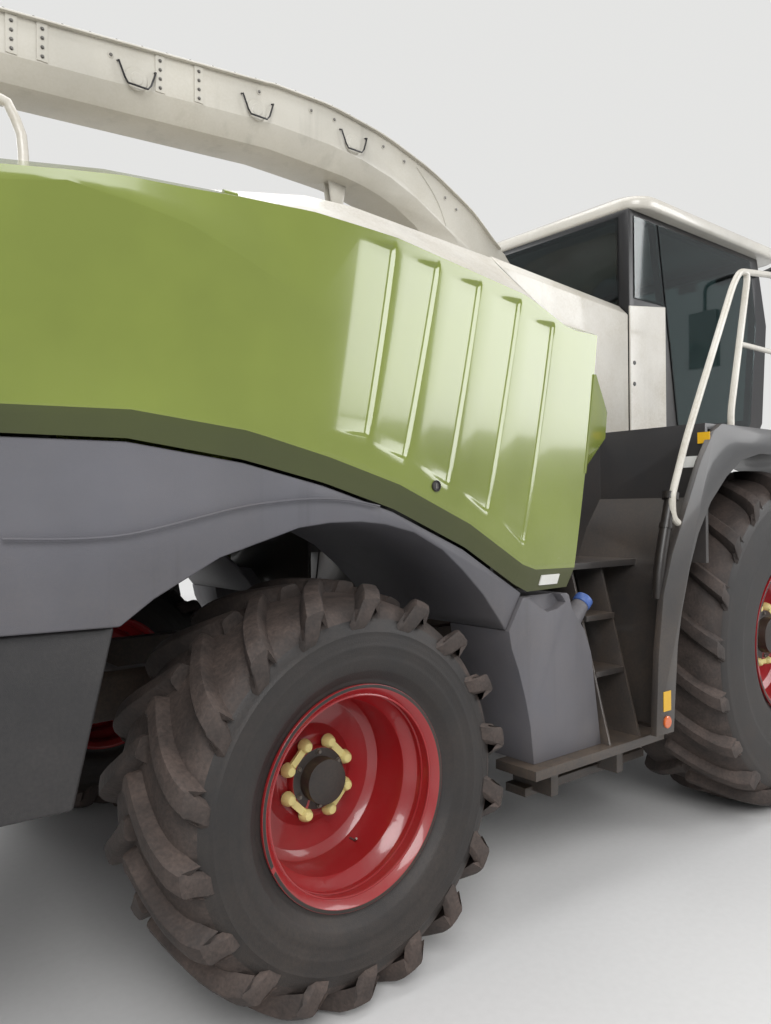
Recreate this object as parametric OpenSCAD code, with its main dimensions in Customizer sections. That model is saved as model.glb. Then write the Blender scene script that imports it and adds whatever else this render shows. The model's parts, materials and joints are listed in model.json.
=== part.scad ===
// Self-propelled forage harvester. +X is forward, +Y is the machine's left,
// +Z is up. The origin is on the ground, midway between the header face and
// the spout's tip. Inside the modules X is counted from the rear axle.
// Side pieces are drawn for the left and mirrored for the right.

/* [Overall] */
// Length from the header face to the spout's tip
overall_l = 7000; // [6800:10:7300]
// Distance from the rear axle to the header face
nose_x = 4350; // [4250:10:4450]
// Distance from the rear axle to the front axle
wheelbase = 3000; // [2960:5:3040]
// Distance from the rear axle back to the rear wall
tail_x = 1950; // [1900:10:2000]

/* [Rear wheels] */
// Outer radius of the rear tyre over its lugs
rear_tyre_r = 725; // [705:1:735]
// Width of the rear tyre
rear_tyre_w = 600; // [560:2:610]
// Outer radius of the rear rim's flange
rear_rim_r = 381; // [370:1:390]
// Width between the rear rim's flanges
rear_rim_w = 500; // [480:2:510]
// Distance between the two rear tyres' middles
rear_track = 2410; // [2390:2:2430]
// Distance between the two kingpins
kingpin_track = 2040; // [2020:2:2060]

/* [Front wheels] */
// Outer radius of the front tyre over its lugs
front_tyre_r = 960; // [940:1:975]
// Width of the front tyre
front_tyre_w = 680; // [640:2:700]
// Outer radius of the front rim's flange
front_rim_r = 431; // [420:1:440]
// Width between the front rim's flanges
front_rim_w = 580; // [560:2:600]
// Distance between the two front tyres' middles
front_track = 2560; // [2540:2:2600]

/* [Tread] */
// Height of a lug over the tyre's body
lug_h = 46; // [30:1:55]
// Width of a lug along the tread
lug_w = 62; // [50:1:80]
// Thickness of the tyre's wall
tyre_wall = 26; // [18:1:36]
// Lugs on each half of the rear tyre
rear_lugs = 18; // [12:1:22]
// Lugs on each half of the front tyre
front_lugs = 20; // [14:1:24]

/* [Body] */
// Half width over the side panels' main faces
panel_y = 1480; // [1460:2:1500]
// Thickness of a side panel
panel_t = 30; // [20:1:40]
// Half width over the rear fenders
fender_y = 1440; // [1420:2:1450]
// Height of the hinge line of the side panels
panel_hinge_z = 2745; // [2735:1:2760]
// Half width at the hinge line of the side panels
panel_hinge_y = 1280; // [1260:2:1300]
// Thickness of the light covers
cover_t = 25; // [16:1:35]
// Half width of the covers' flat top
cover_y = 950; // [930:2:970]

/* [Chassis] */
// Half width over the main rails
rail_y = 430; // [400:2:440]
// Width of a main rail
rail_w = 80; // [60:2:100]
// Height of a main rail
rail_h = 200; // [160:2:220]
// Height of the main rails' underside
rail_z = 860; // [850:2:900]

/* [Platforms and ladders] */
// Height of the platform beside the cab
deck_z = 2120; // [2100:5:2140]
// Half width over the front fenders
arch_y = 1620; // [1610:1:1630]
// Radius of the handrails' tube
rail_r = 17; // [14:1:20]
// Distance from the rear axle to the platform's rear wall
deck_x = 2050; // [2040:5:2080]

/* [Cab] */
// Distance from the rear axle to the cab's rear wall
cab_x = 2380; // [2375:1:2400]
// Half width of the cab
cab_y = 950; // [930:2:960]
// Thickness of the cab's walls
cab_t = 45; // [35:1:55]
// Height of the cab floor's underside
cab_z = 2050; // [2040:1:2060]
// Height of the roof's underside
roof_z = 3450; // [3440:2:3460]
// Height of the roof panel
roof_h = 130; // [110:2:150]
// Half width of the roof
roof_y = 1030; // [1010:2:1050]
// Clearance round the door
door_gap = 8; // [6:0.5:12]

/* [Spout] */
// Distance from the rear axle to the spout's slewing axis
spout_x = 1930; // [1910:2:1940]
// Width of the spout
spout_w = 380; // [340:2:400]
// Thickness of the spout's sheet
spout_t = 8; // [5:1:12]
// Height of the spout's highest point
peak_z = 3848; // [3830:2:3860]
// Radius of the long arc over the hood
boom_r = 2443; // [2400:1:2500]
// Slope of the straight boom
boom_slope = 5; // [3:0.5:7]
// Radius of the tight arc above the turntable
elbow_r = 300; // [280:2:320]
// Angle where the tight arc starts
elbow_a = 38; // [36:0.5:40]
// Radius of the slewing ring
ring_r = 345; // [335:1:350]
// Length of the end flap beyond the spout
flap_reach = 450; // [400:10:500]

/* [Feed housing] */
// Half width of the feed housing
feed_y = 440; // [420:2:460]
// Height of the feed housing's pivot
feed_pivot_z = 1010; // [1000:2:1030]
// Distance from the front axle to the feed housing's pivot
feed_pivot_reach = 560; // [550:5:580]
// Radius of a feed roll
feed_roll_r = 110; // [95:1:115]

/* [Fits] */
// Gap between pieces that rest on each other
seat_gap = 0.3; // [0.2:0.1:0.5]
// Radial clearance of a turning fit
turn_gap = 0.3; // [0.2:0.1:0.5]

/* [Hidden] */
$fn = 48;

rear_axle_x = overall_l / 2 - nose_x;
spout_tip_x = nose_x - overall_l;
tail = -tail_x;

paint_green = [0.52, 0.62, 0.18];
paint_pale = [0.74, 0.73, 0.68];
paint_red = [0.72, 0.05, 0.07];
dark_grey = [0.20, 0.21, 0.23];
black = [0.07, 0.07, 0.08];
rubber = [0.13, 0.11, 0.10];
steel = [0.55, 0.55, 0.56];
glass_tint = [0.25, 0.32, 0.32, 0.4];

// Shifts a piece that is drawn from the rear axle into the machine's frame.
module from_axle() { translate([rear_axle_x, 0, 0]) children(); }

// Keeps what is drawn for the left side and adds it mirrored on the right.
module both_sides() {
    children();
    mirror([0, 1, 0]) children();
}

// Extrudes a side view, drawn as X and Z, from one Y to another.
module slab(y0, y1) {
    translate([0, y1, 0]) rotate([90, 0, 0]) linear_extrude(y1 - y0) children();
}

// Extrudes a front view, drawn as Y and Z, from one X to another.
module bulkhead(x0, x1) {
    translate([x0, 0, 0]) rotate([90, 0, 90]) linear_extrude(x1 - x0) children();
}

// A block between two opposite corners.
module block(low, high) { translate(low) cube(high - low); }

// A shaft along Y from one Y to another.
module shaft(x, z, r, y0, y1) {
    translate([x, y1, z]) rotate([90, 0, 0]) cylinder(r = r, h = y1 - y0);
}

// A round bar between two points.
module bar(a, b, r) {
    d = b - a;
    l = norm(d);
    translate(a) rotate([0, acos(d.z / l), atan2(d.y, d.x)]) cylinder(r = r, h = l);
}

function unit(v) = v / norm(v);

// The points of a path with each inner corner rounded over a length.
function rounded_path(points, reach, steps = 4) = let (last = len(points) - 1) concat(
    [points[0]],
    [for (i = [1 : last - 1]) let (
        p = points[i], before = points[i - 1] - p, after = points[i + 1] - p,
        a = p + unit(before) * min(reach, norm(before) * 0.45),
        b = p + unit(after) * min(reach, norm(after) * 0.45))
        each [for (k = [0 : steps]) let (t = k / steps)
            a * (1 - t) * (1 - t) + p * 2 * t * (1 - t) + b * t * t]],
    [points[last]]);

// Rings round a path, each square to it. The path keeps clear of the
// direction named by across.
function tube_rings(path, r, across, sides) = let (last = len(path) - 1)
    [for (i = [0 : last]) let (
        before = unit(path[i] - path[max(i - 1, 0)] + (i == 0 ? path[1] - path[0] : [0, 0, 0])),
        after = unit(path[min(i + 1, last)] - path[i] + (i == last ? path[i] - path[i - 1] : [0, 0, 0])),
        along = unit(before + after),
        mitre = 1 / max(0.5, along * after),
        u = unit(cross(across, along)),
        v = cross(along, u))
        [for (k = [0 : sides - 1]) let (a = -360 / sides * k)
            path[i] + r * (u * cos(a) * mitre + v * sin(a))]];

// A bent tube through a list of points with rounded corners.
module bent_tube(points, r, across, reach = 70, sides = 12) {
    loft(tube_rings(rounded_path(points, reach), r, across, sides));
}

// Skins a row of closed rings with equal counts of points. Seen along the
// row each ring runs from top right to top left and down.
module loft(rings) {
    n = len(rings[0]);
    m = len(rings);
    polyhedron(
        points = [for (ring = rings) each ring],
        faces = concat(
            [[for (i = [n - 1 : -1 : 0]) i]],
            [[for (i = [0 : n - 1]) (m - 1) * n + i]],
            [for (k = [0 : m - 2], i = [0 : n - 1], side = [0, 1])
                let (a = k * n + i, b = k * n + (i + 1) % n)
                side == 0 ? [a, b, b + n] : [a, b + n, a + n]]));
}

// Height on a row of [x, z] points, by straight lines between them.
function height_at(line, x, i = 0) =
    i >= len(line) - 2 || x <= line[i + 1].x
        ? line[i].y + (line[i + 1].y - line[i].y) * (x - line[i].x) / (line[i + 1].x - line[i].x)
        : height_at(line, x, i + 1);

// Wheels

// Cross-section of a hollow tyre, as radius and Y.
module tyre_section(r, w, rim_r, rim_w) {
    body_r = r - lug_h;
    bead_r = rim_r - 25 + seat_gap;
    bead_y = rim_w / 2 - seat_gap;
    belly_r = rim_r + (body_r - rim_r) * 0.45;
    outer = [[bead_r, bead_y], [rim_r + 6, bead_y], [rim_r + 40, w / 2 - 28],
        [belly_r, w / 2 - 4], [body_r - 90, w / 2 - 12], [body_r - 34, w / 2 - 52],
        [body_r - 8, w / 2 - 140], [body_r, 0]];
    inner = [[body_r - tyre_wall, 0], [body_r - tyre_wall - 12, w / 2 - 150],
        [body_r - 100, w / 2 - 12 - tyre_wall], [belly_r, w / 2 - 4 - tyre_wall],
        [rim_r + 30, w / 2 - 34 - tyre_wall], [bead_r, bead_y - 55]];
    for (s = [1, -1])
        polygon([for (p = concat(outer, inner)) [p.x, s * p.y]]);
}

// The band of space that the lugs fill, as radius and Y.
module lug_section(r, w) {
    body_r = r - lug_h;
    polygon([for (s = [1, -1], p = s > 0
        ? [[r, 0], [r - 3, w / 2 - 120], [r - 14, w / 2 - 50], [r - 46, w / 2 - 8],
           [body_r - 120, w / 2], [body_r - 124, w / 2 - 26]]
        : [[body_r - 124, w / 2 - 26], [body_r - 120, w / 2], [r - 46, w / 2 - 8],
           [r - 14, w / 2 - 50], [r - 3, w / 2 - 120]])
        [p.x, s * p.y]]);
}

// One lug's outline on the tread, from past the middle to the shoulder.
module lug_outline(w, lean) {
    shoulder = w / 2 + 10;
    polygon([[-lug_w / 2, -22], [lug_w / 2, -22],
        [lug_w / 2 + lean * 0.55, shoulder * 0.45], [lug_w * 0.62 + lean, shoulder],
        [-lug_w * 0.62 + lean, shoulder], [-lug_w / 2 + lean * 0.55, shoulder * 0.45]]);
}

// A tyre about its own middle, with its axle along Y.
module tyre(r, w, rim_r, rim_w, lugs) {
    body_r = r - lug_h;
    lean = -w * 0.36;
    rotate([90, 0, 0]) rotate_extrude($fn = 72) tyre_section(r, w, rim_r, rim_w);
    intersection() {
        for (i = [0 : lugs - 1], s = [0, 1])
            mirror([0, s, 0]) rotate([0, 360 / lugs * (i + s / 2), 0])
                translate([0, 0, body_r - 130]) linear_extrude(lug_h + 140)
                    lug_outline(w, lean);
        rotate([90, 0, 0]) rotate_extrude($fn = 72) difference() {
            lug_section(r, w);
            square([body_r - 124, w], center = false);
            polygon([[0, w], [body_r - 16, w / 2 - 150], [body_r - 16, 150 - w / 2], [0, -w]]);
        }
    }
}

// A rim with its disc and hub about the tyre's middle. The disc's outer
// face stands at disc_y and the hub's bore takes the spindle.
module rim(rim_r, rim_w, disc_y, hub_r, hub_l, bore_r, studs) {
    bead_r = rim_r - 25;
    well_r = rim_r - 62;
    edge = rim_w / 2 + 14;
    outside = [[rim_r, edge], [rim_r, rim_w / 2], [bead_r, rim_w / 2],
        [bead_r, rim_w / 2 - 78], [well_r, rim_w / 2 - 118]];
    inside = [[well_r - 12, rim_w / 2 - 122], [bead_r - 13, rim_w / 2 - 82],
        [bead_r - 13, rim_w / 2 - 10], [rim_r - 14, edge]];
    rotate([90, 0, 0]) rotate_extrude($fn = 96)
        polygon([each outside, for (i = [len(outside) - 1 : -1 : 0]) [outside[i].x, -outside[i].y],
            for (i = [len(inside) - 1 : -1 : 0]) [inside[i].x, -inside[i].y], each inside]);
    difference() {
        union() {
            translate([0, disc_y, 0]) rotate([90, 0, 0]) rotate_extrude($fn = 96)
                polygon([[0, 0], [hub_r + 40, 0], [hub_r + 75, 26], [well_r - 44, 26],
                    [well_r - 8, 0], [well_r - 8, 14], [well_r - 40, 40], [hub_r + 68, 40],
                    [hub_r + 34, 16], [0, 16]]);
            shaft(0, 0, hub_r, disc_y - hub_l, disc_y + 40);
            shaft(0, 0, hub_r * 0.72, disc_y + 40, disc_y + 96);
        }
        shaft(0, 0, bore_r, disc_y - hub_l - 1, disc_y + 30);
    }
    for (i = [0 : studs - 1]) rotate([0, 360 / studs * (i + 0.5), 0])
        shaft(hub_r + 22, 0, 14, disc_y - 8, disc_y + 26);
}

rear_y = rear_track / 2;
front_y = front_track / 2;
kingpin_y = kingpin_track / 2;
rear_disc_y = rear_rim_w / 2 - 276;
front_disc_y = front_rim_w / 2 - 190;
hub_r = 112;
rear_hub_l = 92;
front_hub_l = 120;
spindle_r = 60;
shaft_r = 75;

module rear_wheel_place(side) {
    from_axle() translate([0, side * rear_y, rear_tyre_r])
        scale([1, side, 1]) children();
}

module front_wheel_place(side) {
    from_axle() translate([wheelbase, side * front_y, front_tyre_r])
        scale([1, side, 1]) children();
}

module rear_rim() {
    color(paint_red) rim(rear_rim_r, rear_rim_w, rear_disc_y, hub_r, rear_hub_l,
        spindle_r + turn_gap, 8);
}

module front_rim() {
    color(paint_red) rim(front_rim_r, front_rim_w, front_disc_y, hub_r + 30, front_hub_l,
        shaft_r + turn_gap, 10);
}

module rear_tyre() { color(rubber) tyre(rear_tyre_r, rear_tyre_w, rear_rim_r, rear_rim_w, rear_lugs); }
module front_tyre() { color(rubber) tyre(front_tyre_r, front_tyre_w, front_rim_r, front_rim_w, front_lugs); }

module rim_rear_left() { rear_wheel_place(1) rear_rim(); }
module rim_rear_right() { rear_wheel_place(-1) rear_rim(); }
module rim_front_left() { front_wheel_place(1) front_rim(); }
module rim_front_right() { front_wheel_place(-1) front_rim(); }
module tyre_rear_left() { rear_wheel_place(1) rear_tyre(); }
module tyre_rear_right() { rear_wheel_place(-1) rear_tyre(); }
module tyre_front_left() { front_wheel_place(1) front_tyre(); }
module tyre_front_right() { front_wheel_place(-1) front_tyre(); }

// Steering knuckle: a post on the kingpin and a spindle.
module knuckle() {
    spindle_end = rear_y + rear_disc_y + 20;
    color(black) difference() {
        union() {
            translate([0, kingpin_y, rear_tyre_r - 95]) cylinder(r = 62, h = 190);
            shaft(0, rear_tyre_r, spindle_r, kingpin_y, spindle_end);
            shaft(0, rear_tyre_r, 90, kingpin_y, rear_y + rear_disc_y - rear_hub_l - seat_gap);
        }
        translate([0, kingpin_y, rear_tyre_r - 96]) cylinder(r = 32 + turn_gap, h = 192);
    }
}

module knuckle_left() { from_axle() knuckle(); }
module knuckle_right() { from_axle() mirror([0, 1, 0]) knuckle(); }

// Rear axle: a beam under the rails with a forked end and a kingpin on
// each side.
module rear_axle() {
    z = rear_tyre_r;
    color(black) from_axle() both_sides() {
        slab(0, kingpin_y - 149) square_at(-85, z - 80, 170, 160);
        difference() {
            union() {
                translate([0, 0, z - 150]) linear_extrude(300)
                    polygon([[-85, kingpin_y - 150], [-52, kingpin_y], [52, kingpin_y], [85, kingpin_y - 150]]);
                translate([0, kingpin_y, z - 150]) cylinder(r = 52, h = 300);
            }
            translate([-200, kingpin_y - 78, z - 96]) cube([400, 300, 192]);
        }
        translate([0, kingpin_y, z - 150]) cylinder(r = 32, h = 300);
    }
}

module square_at(x, z, w, h) { translate([x, z]) square([w, h]); }

// Front axle: a beam with a final drive and a wheel shaft on each side.
module front_axle() {
    z = front_tyre_r;
    inner = front_y + front_disc_y - front_hub_l - seat_gap;
    color(black) from_axle() both_sides() {
        slab(rail_y + seat_gap, 640) square_at(wheelbase - 130, z - 120, 260, 240);
        shaft(wheelbase, z, 210, 640, 760);
        shaft(wheelbase, z, 160, 760, inner);
        shaft(wheelbase, z, shaft_r, inner, front_y + front_disc_y + 20);
    }
}

// Chassis

bulk_x = [tail + 1030, 930];
bulk_t = 20;
beam_x = [wheelbase - 540, wheelbase + 210];
tank_top = 1338;
// Feed housing's pivot and its two lift cylinders, with half of an eye's
// width.
feed_pivot_x = wheelbase + feed_pivot_reach;
feed_cyl_y = 520;
feed_cyl_foot = [wheelbase + 150, 620];
feed_cyl_eye = [wheelbase + 950, 660];
eye_w = 17;

// Top line of the covers and of the rear boxes as [x, z].
cover_line = [[tail, 2740], [-1000, 2760], [-450, 2889], [260, 3025], [420, 3021],
    [1284, 2969], [cab_x - 14, 2890]];
box_line = [[tail, 1400], [-810, 1380]];

module frame() {
    foot = feed_cyl_foot;
    pad_z = rear_tyre_r + 80 + seat_gap;
    color(black) from_axle() {
        both_sides() {
            slab(rail_y - rail_w, rail_y)
                square_at(tail + seat_gap, rail_z, wheelbase + 470 - tail - seat_gap, rail_h);
            slab(rail_y - rail_w - 20, rail_y + 20)
                square_at(-60, pad_z, 120, rail_z + 15 - pad_z);
            slab(rail_y - 5, feed_y + 10) square_at(wheelbase + 300, rail_z + 20, 170, 170);
            slab(feed_y + 5, feed_y + 35) polygon([[wheelbase + 300, rail_z + 20],
                [wheelbase + 300, rail_z + 190],
                [feed_pivot_x, feed_pivot_z + 80], [feed_pivot_x, feed_pivot_z - 80]]);
            shaft(feed_pivot_x, feed_pivot_z, 80, feed_y + 5, feed_y + 35);
            shaft(feed_pivot_x, feed_pivot_z, 35, feed_y - 35, feed_y + 35);
            slab(rail_y - 5, rail_y + 20) polygon([[foot.x - 40, foot.y - 40], [foot.x + 40, foot.y - 40],
                [foot.x + 40, rail_z + 190], [foot.x - 15, rail_z + 190],
                [foot.x - 15, rail_z - 30], [foot.x - 40, rail_z - 60]]);
            shaft(foot.x, foot.y, 30, rail_y + 10, feed_cyl_y - eye_w - seat_gap);
            shaft(foot.x, foot.y, 20, rail_y + 10, feed_cyl_y + eye_w + 5);
            for (x = beam_x) {
                block([x, rail_y, rail_z + 40], [x + 80, rail_y + 80, 1980]);
                block([x, cab_y + seat_gap, 2010], [x + 80, 1500, deck_z - 30 - seat_gap]);
            }
        }
        for (x = beam_x)
            block([x, -cab_y - seat_gap, 1960 + seat_gap], [x + 80, cab_y + seat_gap, cab_z - seat_gap]);
        for (x = [tail + 60, -500, 1350, 2200])
            block([x, -rail_y + rail_w, rail_z + 20], [x + 120, rail_y - rail_w, rail_z + rail_h - 20]);
        bulkhead(bulk_x[0], bulk_x[0] + bulk_t)
            bulk_outline(height_at(cover_line, bulk_x[0]), height_at(box_line, bulk_x[0]), fender_y - 40 - seat_gap);
        difference() {
            bulkhead(bulk_x[1], bulk_x[1] + bulk_t)
                bulk_outline(height_at(cover_line, bulk_x[1] + bulk_t), tank_top, 1200);
            bulkhead(bulk_x[1] - 1, bulk_x[1] + bulk_t + 1)
                translate([-250, 1250]) square([500, 1100]);
        }
    }
}

// Front view of a bulkhead under the cover, down to the boxes or tanks.
module bulk_outline(cover_z, foot_z, reach) {
    top = cover_z - cover_t - seat_gap;
    low = foot_z + seat_gap;
    half = [[cover_y - 75, top - 10], [cover_y - 60, top - 90], [1180, 2500], [1180, 1850],
        [reach, 1850], [reach, low], [925, low], [rail_y + 60, rail_z + rail_h]];
    polygon(concat([[0, top]], half, [for (i = [len(half) - 1 : -1 : 0]) [-half[i].x, half[i].y]]));
}

module engine() {
    color(steel) from_axle() block([tail + 160, -620, rail_z + rail_h + seat_gap], [bulk_x[0] - 40, 620, 2080]);
}

// Chopping unit between the front wheels, with the chute to the spout.
module drum_housing() {
    low_y = rail_y - rail_w - seat_gap;
    high_y = rail_y - seat_gap;
    high_z = rail_z + rail_h + seat_gap;
    color(dark_grey) from_axle() {
        slab(-low_y, low_y) polygon([[2340, 560], [2900, 480], [3380, 560], [3500, 760],
            [3500, 1000], [3420, 1040], [3420, 1300], [3300, 1420], [2750, 1420], [2340, 1080]]);
        slab(-high_y, high_y) polygon([[2340, high_z], [3420, high_z], [3420, 1700],
            [3300, 1960], [2450, 1960], [2340, 1700]]);
        slab(-230, 230) polygon([[2350, 1100], [2345, 1700], [2250, 2600], [2250, 2851],
            [1610, 2851], [1700, 2300], [1900, 1300], [1950, 1100]]);
        translate([spout_x, 0, 2850]) cylinder(r = ring_r - 10, h = 50);
    }
}

// Side tanks with the filler neck on the right one's sloping shoulder.
module side_tanks() {
    color(dark_grey) from_axle() {
        both_sides() slab(1110, fender_y + 15) polygon([[770, 1207], [785, 1136], [826, 1042],
            [868, 914], [895, 803], [915, 640 + seat_gap], [1374, 640 + seat_gap], [1306, 1063],
            [1262, 1165], [1177, 1265], [1154, 1328], [1140, tank_top], [855, tank_top]]);
        on_neck(-8) cylinder(r1 = 50, r2 = 38, h = 108);
    }
}

module on_neck(h) {
    translate([1228, -1400, 1205]) rotate([0, 50, 0]) translate([0, 0, h]) children();
}

module tank_cap() {
    color([0.05, 0.16, 0.42]) from_axle() on_neck(100 + seat_gap) cylinder(r = 42, h = 40);
}

// Side panels

// Stations along a side panel: x, top edge, crease and lower edge.
panel_rows = [
    [tail + 20, 2520, 1960, 1890],
    [-1120, 2585, 1975, 1905],
    [-790, 2645, 1985, 1908],
    [-420, 2675, 1947, 1860],
    [-120, 2675, 1877, 1793],
    [180, 2665, 1791, 1704],
    [530, 2620, 1645, 1556],
    [870, 2575, 1453, 1360],
    [1145, 2475, 1449, 1364]];
// How far forward the top of the front edge leans.
panel_lean = 195;

// Height of the hinged edge over a station with this top.
function hinged_z(top) = panel_hinge_z - (2675 - top) * 0.9;

// One ring of a side panel: the bevel, the face, the band and the inner skin.
function panel_ring(row, last) = let (
    x = row[0], top = row[1], crease = row[2], low = row[3],
    middle = (top + crease) / 2, hinge_y = panel_hinge_y + seat_gap,
    lean = last ? panel_lean : 0,
    skin = [[hinge_y, hinged_z(top)], [panel_y, top], [panel_y + 8, middle],
        [panel_y, crease], [fender_y + 8, low]],
    back = [[fender_y + 8 - panel_t, low], [panel_y - panel_t, crease + 12],
        [panel_y + 8 - panel_t, middle], [panel_y - panel_t, top - 12],
        [hinge_y, hinged_z(top) - panel_t]])
    [for (p = concat(skin, back)) [x + lean * (p.y - low) / (top - low), p.x, p.y]];

module side_panel() {
    last = len(panel_rows) - 1;
    color(paint_green) loft([for (i = [0 : last]) panel_ring(panel_rows[i], i == last)]);
}

module side_panel_left() { from_axle() side_panel(); }
module side_panel_right() { from_axle() mirror([0, 1, 0]) side_panel(); }

// Rear fender: a face plate and the arch's lining behind it.
arch_points = [[-810, 1380], [-710, 1450], [-500, 1560], [-214, 1645], [-93, 1659],
    [36, 1661], [146, 1650], [280, 1618], [422, 1549], [529, 1466], [640, 1364],
    [721, 1268], [767, 1210]];
fender_top = concat([[tail + seat_gap, panel_rows[0][3] - 8]],
    [for (i = [1 : 6]) [panel_rows[i][0], panel_rows[i][3] - 8]], [[862, 1356]]);

module rear_fenders() {
    back = [for (i = [len(arch_points) - 1 : -1 : 0]) arch_points[i]];
    color(dark_grey) from_axle() both_sides() {
        slab(fender_y - 40, fender_y) polygon(concat(fender_top, back, [[tail + seat_gap, 1400]]));
        slab(560, fender_y - 39) polygon(concat(arch_points, [for (p = back) p + [0, 22]]));
    }
}

module rear_boxes() {
    x0 = tail + seat_gap;
    color(dark_grey) from_axle() both_sides()
        slab(940, fender_y - 30) polygon([[x0, 900], [-930, 885], [-812, 1380 - seat_gap],
            [x0, 1400 - seat_gap]]);
}

// Covers

// Ring of a cover at a station: top, slope to the panels, and inner skin.
function cover_ring(x, foot_y, foot_z) = let (z = height_at(cover_line, x)) [
    [x, -foot_y, foot_z], [x, -cover_y, z - 70], [x, -cover_y + 60, z - 8], [x, 0, z],
    [x, cover_y - 60, z - 8], [x, cover_y, z - 70], [x, foot_y, foot_z],
    [x, foot_y, foot_z - cover_t], [x, cover_y - 18, z - 72 - cover_t],
    [x, cover_y - 75, z - 10 - cover_t], [x, 0, z - cover_t],
    [x, -cover_y + 75, z - 10 - cover_t], [x, -cover_y + 18, z - 72 - cover_t],
    [x, -foot_y, foot_z - cover_t]];

hood_end = 1284;
hood_rows = [tail + seat_gap, -1120, -1000, -790, -420, -120, 180, 420, 530, 870, hood_end];
panel_top_line = concat([for (i = [0 : 7]) [panel_rows[i][0], panel_rows[i][1]]], [[1356, 2475]]);

module engine_hood() {
    color(paint_pale) from_axle() loft([for (x = hood_rows)
        cover_ring(x, panel_hinge_y, hinged_z(height_at(panel_top_line, x)))]);
}

// Middle cover between the hood and the cab, open round the turntable.
module mid_cover() {
    x0 = hood_end + seat_gap;
    x1 = cab_x - 14;
    z0 = height_at(cover_line, x0);
    z1 = height_at(cover_line, x1);
    low = deck_z - 20;
    fall = atan((z0 - z1) / (x1 - x0));
    color(paint_pale) from_axle() difference() {
        slab(-cover_y, cover_y) polygon([[x0, low], [x0, z0], [x1, z1], [x1, low]]);
        slab(-cover_y + 90, cover_y - 90) polygon([[x0 - 1, low - 1], [x0 - 1, z0 - cover_t],
            [x1 + 1, z1 - cover_t], [x1 + 1, low - 1]]);
        slab(-cover_y + cover_t, cover_y - cover_t) polygon([[x0 - 1, low - 1], [x0 - 1, z0 - 100],
            [x1 + 1, z1 - 100], [x1 + 1, low - 1]]);
        both_sides() translate([x0, 0, z0]) rotate([0, fall, 0]) bulkhead(-40, x1 - x0 + 40)
            polygon([[cover_y - 60, 0], [cover_y + 1, -63], [cover_y + 1, 5], [cover_y - 60, 5]]);
        translate([spout_x, 0, 2800]) cylinder(r = ring_r + 25, h = 300);
    }
}

module rear_wall() {
    half = [[1400, 920], [1420, 2420], [1280, 2590], [950, 2664], [890, 2728]];
    color(dark_grey) from_axle() difference() {
        bulkhead(tail - 40, tail)
            polygon(concat(half, [for (i = [len(half) - 1 : -1 : 0]) [-half[i].x, half[i].y]]));
        bulkhead(tail - 50, tail - 20) square_at(-800, 1300, 1600, 1100);
        for (z = [1340 : 80 : 2340]) bulkhead(tail - 30, tail + 10) square_at(-780, z, 1560, 44);
    }
}

// Counterweight under the rails with the hitch's two jaws behind it.
module counterweight() {
    color(black) from_axle() difference() {
        union() {
            block([tail - 160, -900, 640], [tail + 150, 900, rail_z - seat_gap]);
            slab(-70, 70) square_at(tail - 260, 640, 102, 150);
        }
        slab(-100, 100) square_at(tail - 300, 690, 130, 50);
        translate([tail - 215, 0, 600]) cylinder(r = 20, h = 240);
    }
}

module tail_lamps() {
    color([0.5, 0.02, 0.02]) from_axle() both_sides()
        bulkhead(tail - 75, tail - 40 - seat_gap) square_at(1130, 1200, 200, 110);
}

// Platforms, fenders and ladders

// Outer and inner edge of the front fender's side strip, as X and Z.
strip_outer = [[1557, 673], [1582, 1038], [1627, 1310], [1705, 1494], [1865, 1767],
    [1958, 1927], [2082, 2080], [2160, deck_z], [3860, deck_z], [3950, 1980]];
strip_inner = [[1700, 670], [1717, 845], [1740, 1065], [1777, 1216], [1850, 1417],
    [1931, 1580], [2047, 1730], [2202, 1857], [2359, 1946], [2552, 1986], [3450, 1986],
    [3700, 1940], [3880, 1840]];

module platforms() {
    n = len(strip_inner);
    y0 = cover_y + seat_gap;
    color(dark_grey) from_axle() both_sides() {
        slab(arch_y - 30, arch_y) polygon([
            each strip_outer, for (i = [n - 1 : -1 : 0]) strip_inner[i]]);
        slab(y0, arch_y - 29) polygon([
            each strip_inner, for (i = [n - 1 : -1 : 0]) strip_inner[i] + [-8, 16]]);
        block([deck_x, y0, deck_z - 30], [3860, arch_y - 29, deck_z]);
        block([deck_x, y0, 1430], [deck_x + 25, arch_y - 29, deck_z - 20]);
        block([hood_end + seat_gap, y0, 1420], [deck_x + 25, 1330, 1450]);
        block([hood_end + seat_gap, y0, 1440], [deck_x + 25, cover_y + 25, deck_z]);
        bulkhead(hood_end + seat_gap, hood_end + 20)
            polygon([[y0, 1440], [1278, 1440], [1278, 2568], [y0, 2885]]);
    }
}

// Ladder: two stringers leaning inwards, treads and the sill beneath.
module ladders() {
    color(dark_grey) from_axle() both_sides() {
        for (x = [1378, 1606]) bulkhead(x, x + 14)
            polygon([[1500, 630], [1300, 630], [1140, 1420 - seat_gap], [1290, 1420 - seat_gap]]);
        for (z = [930, 1180]) let (y = 1300 - (z - 640) * 0.205)
            block([1390, y, z], [1608, y + 180, z + 25]);
        block([850, 1300, 600], [1780, 1520, 640]);
        block([1150, 1080, 380], [2100, 1200, 420]);
        for (x = [1200, 1700]) block([x, 1080, 400], [x + 50, 1310, 620]);
    }
}

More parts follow.
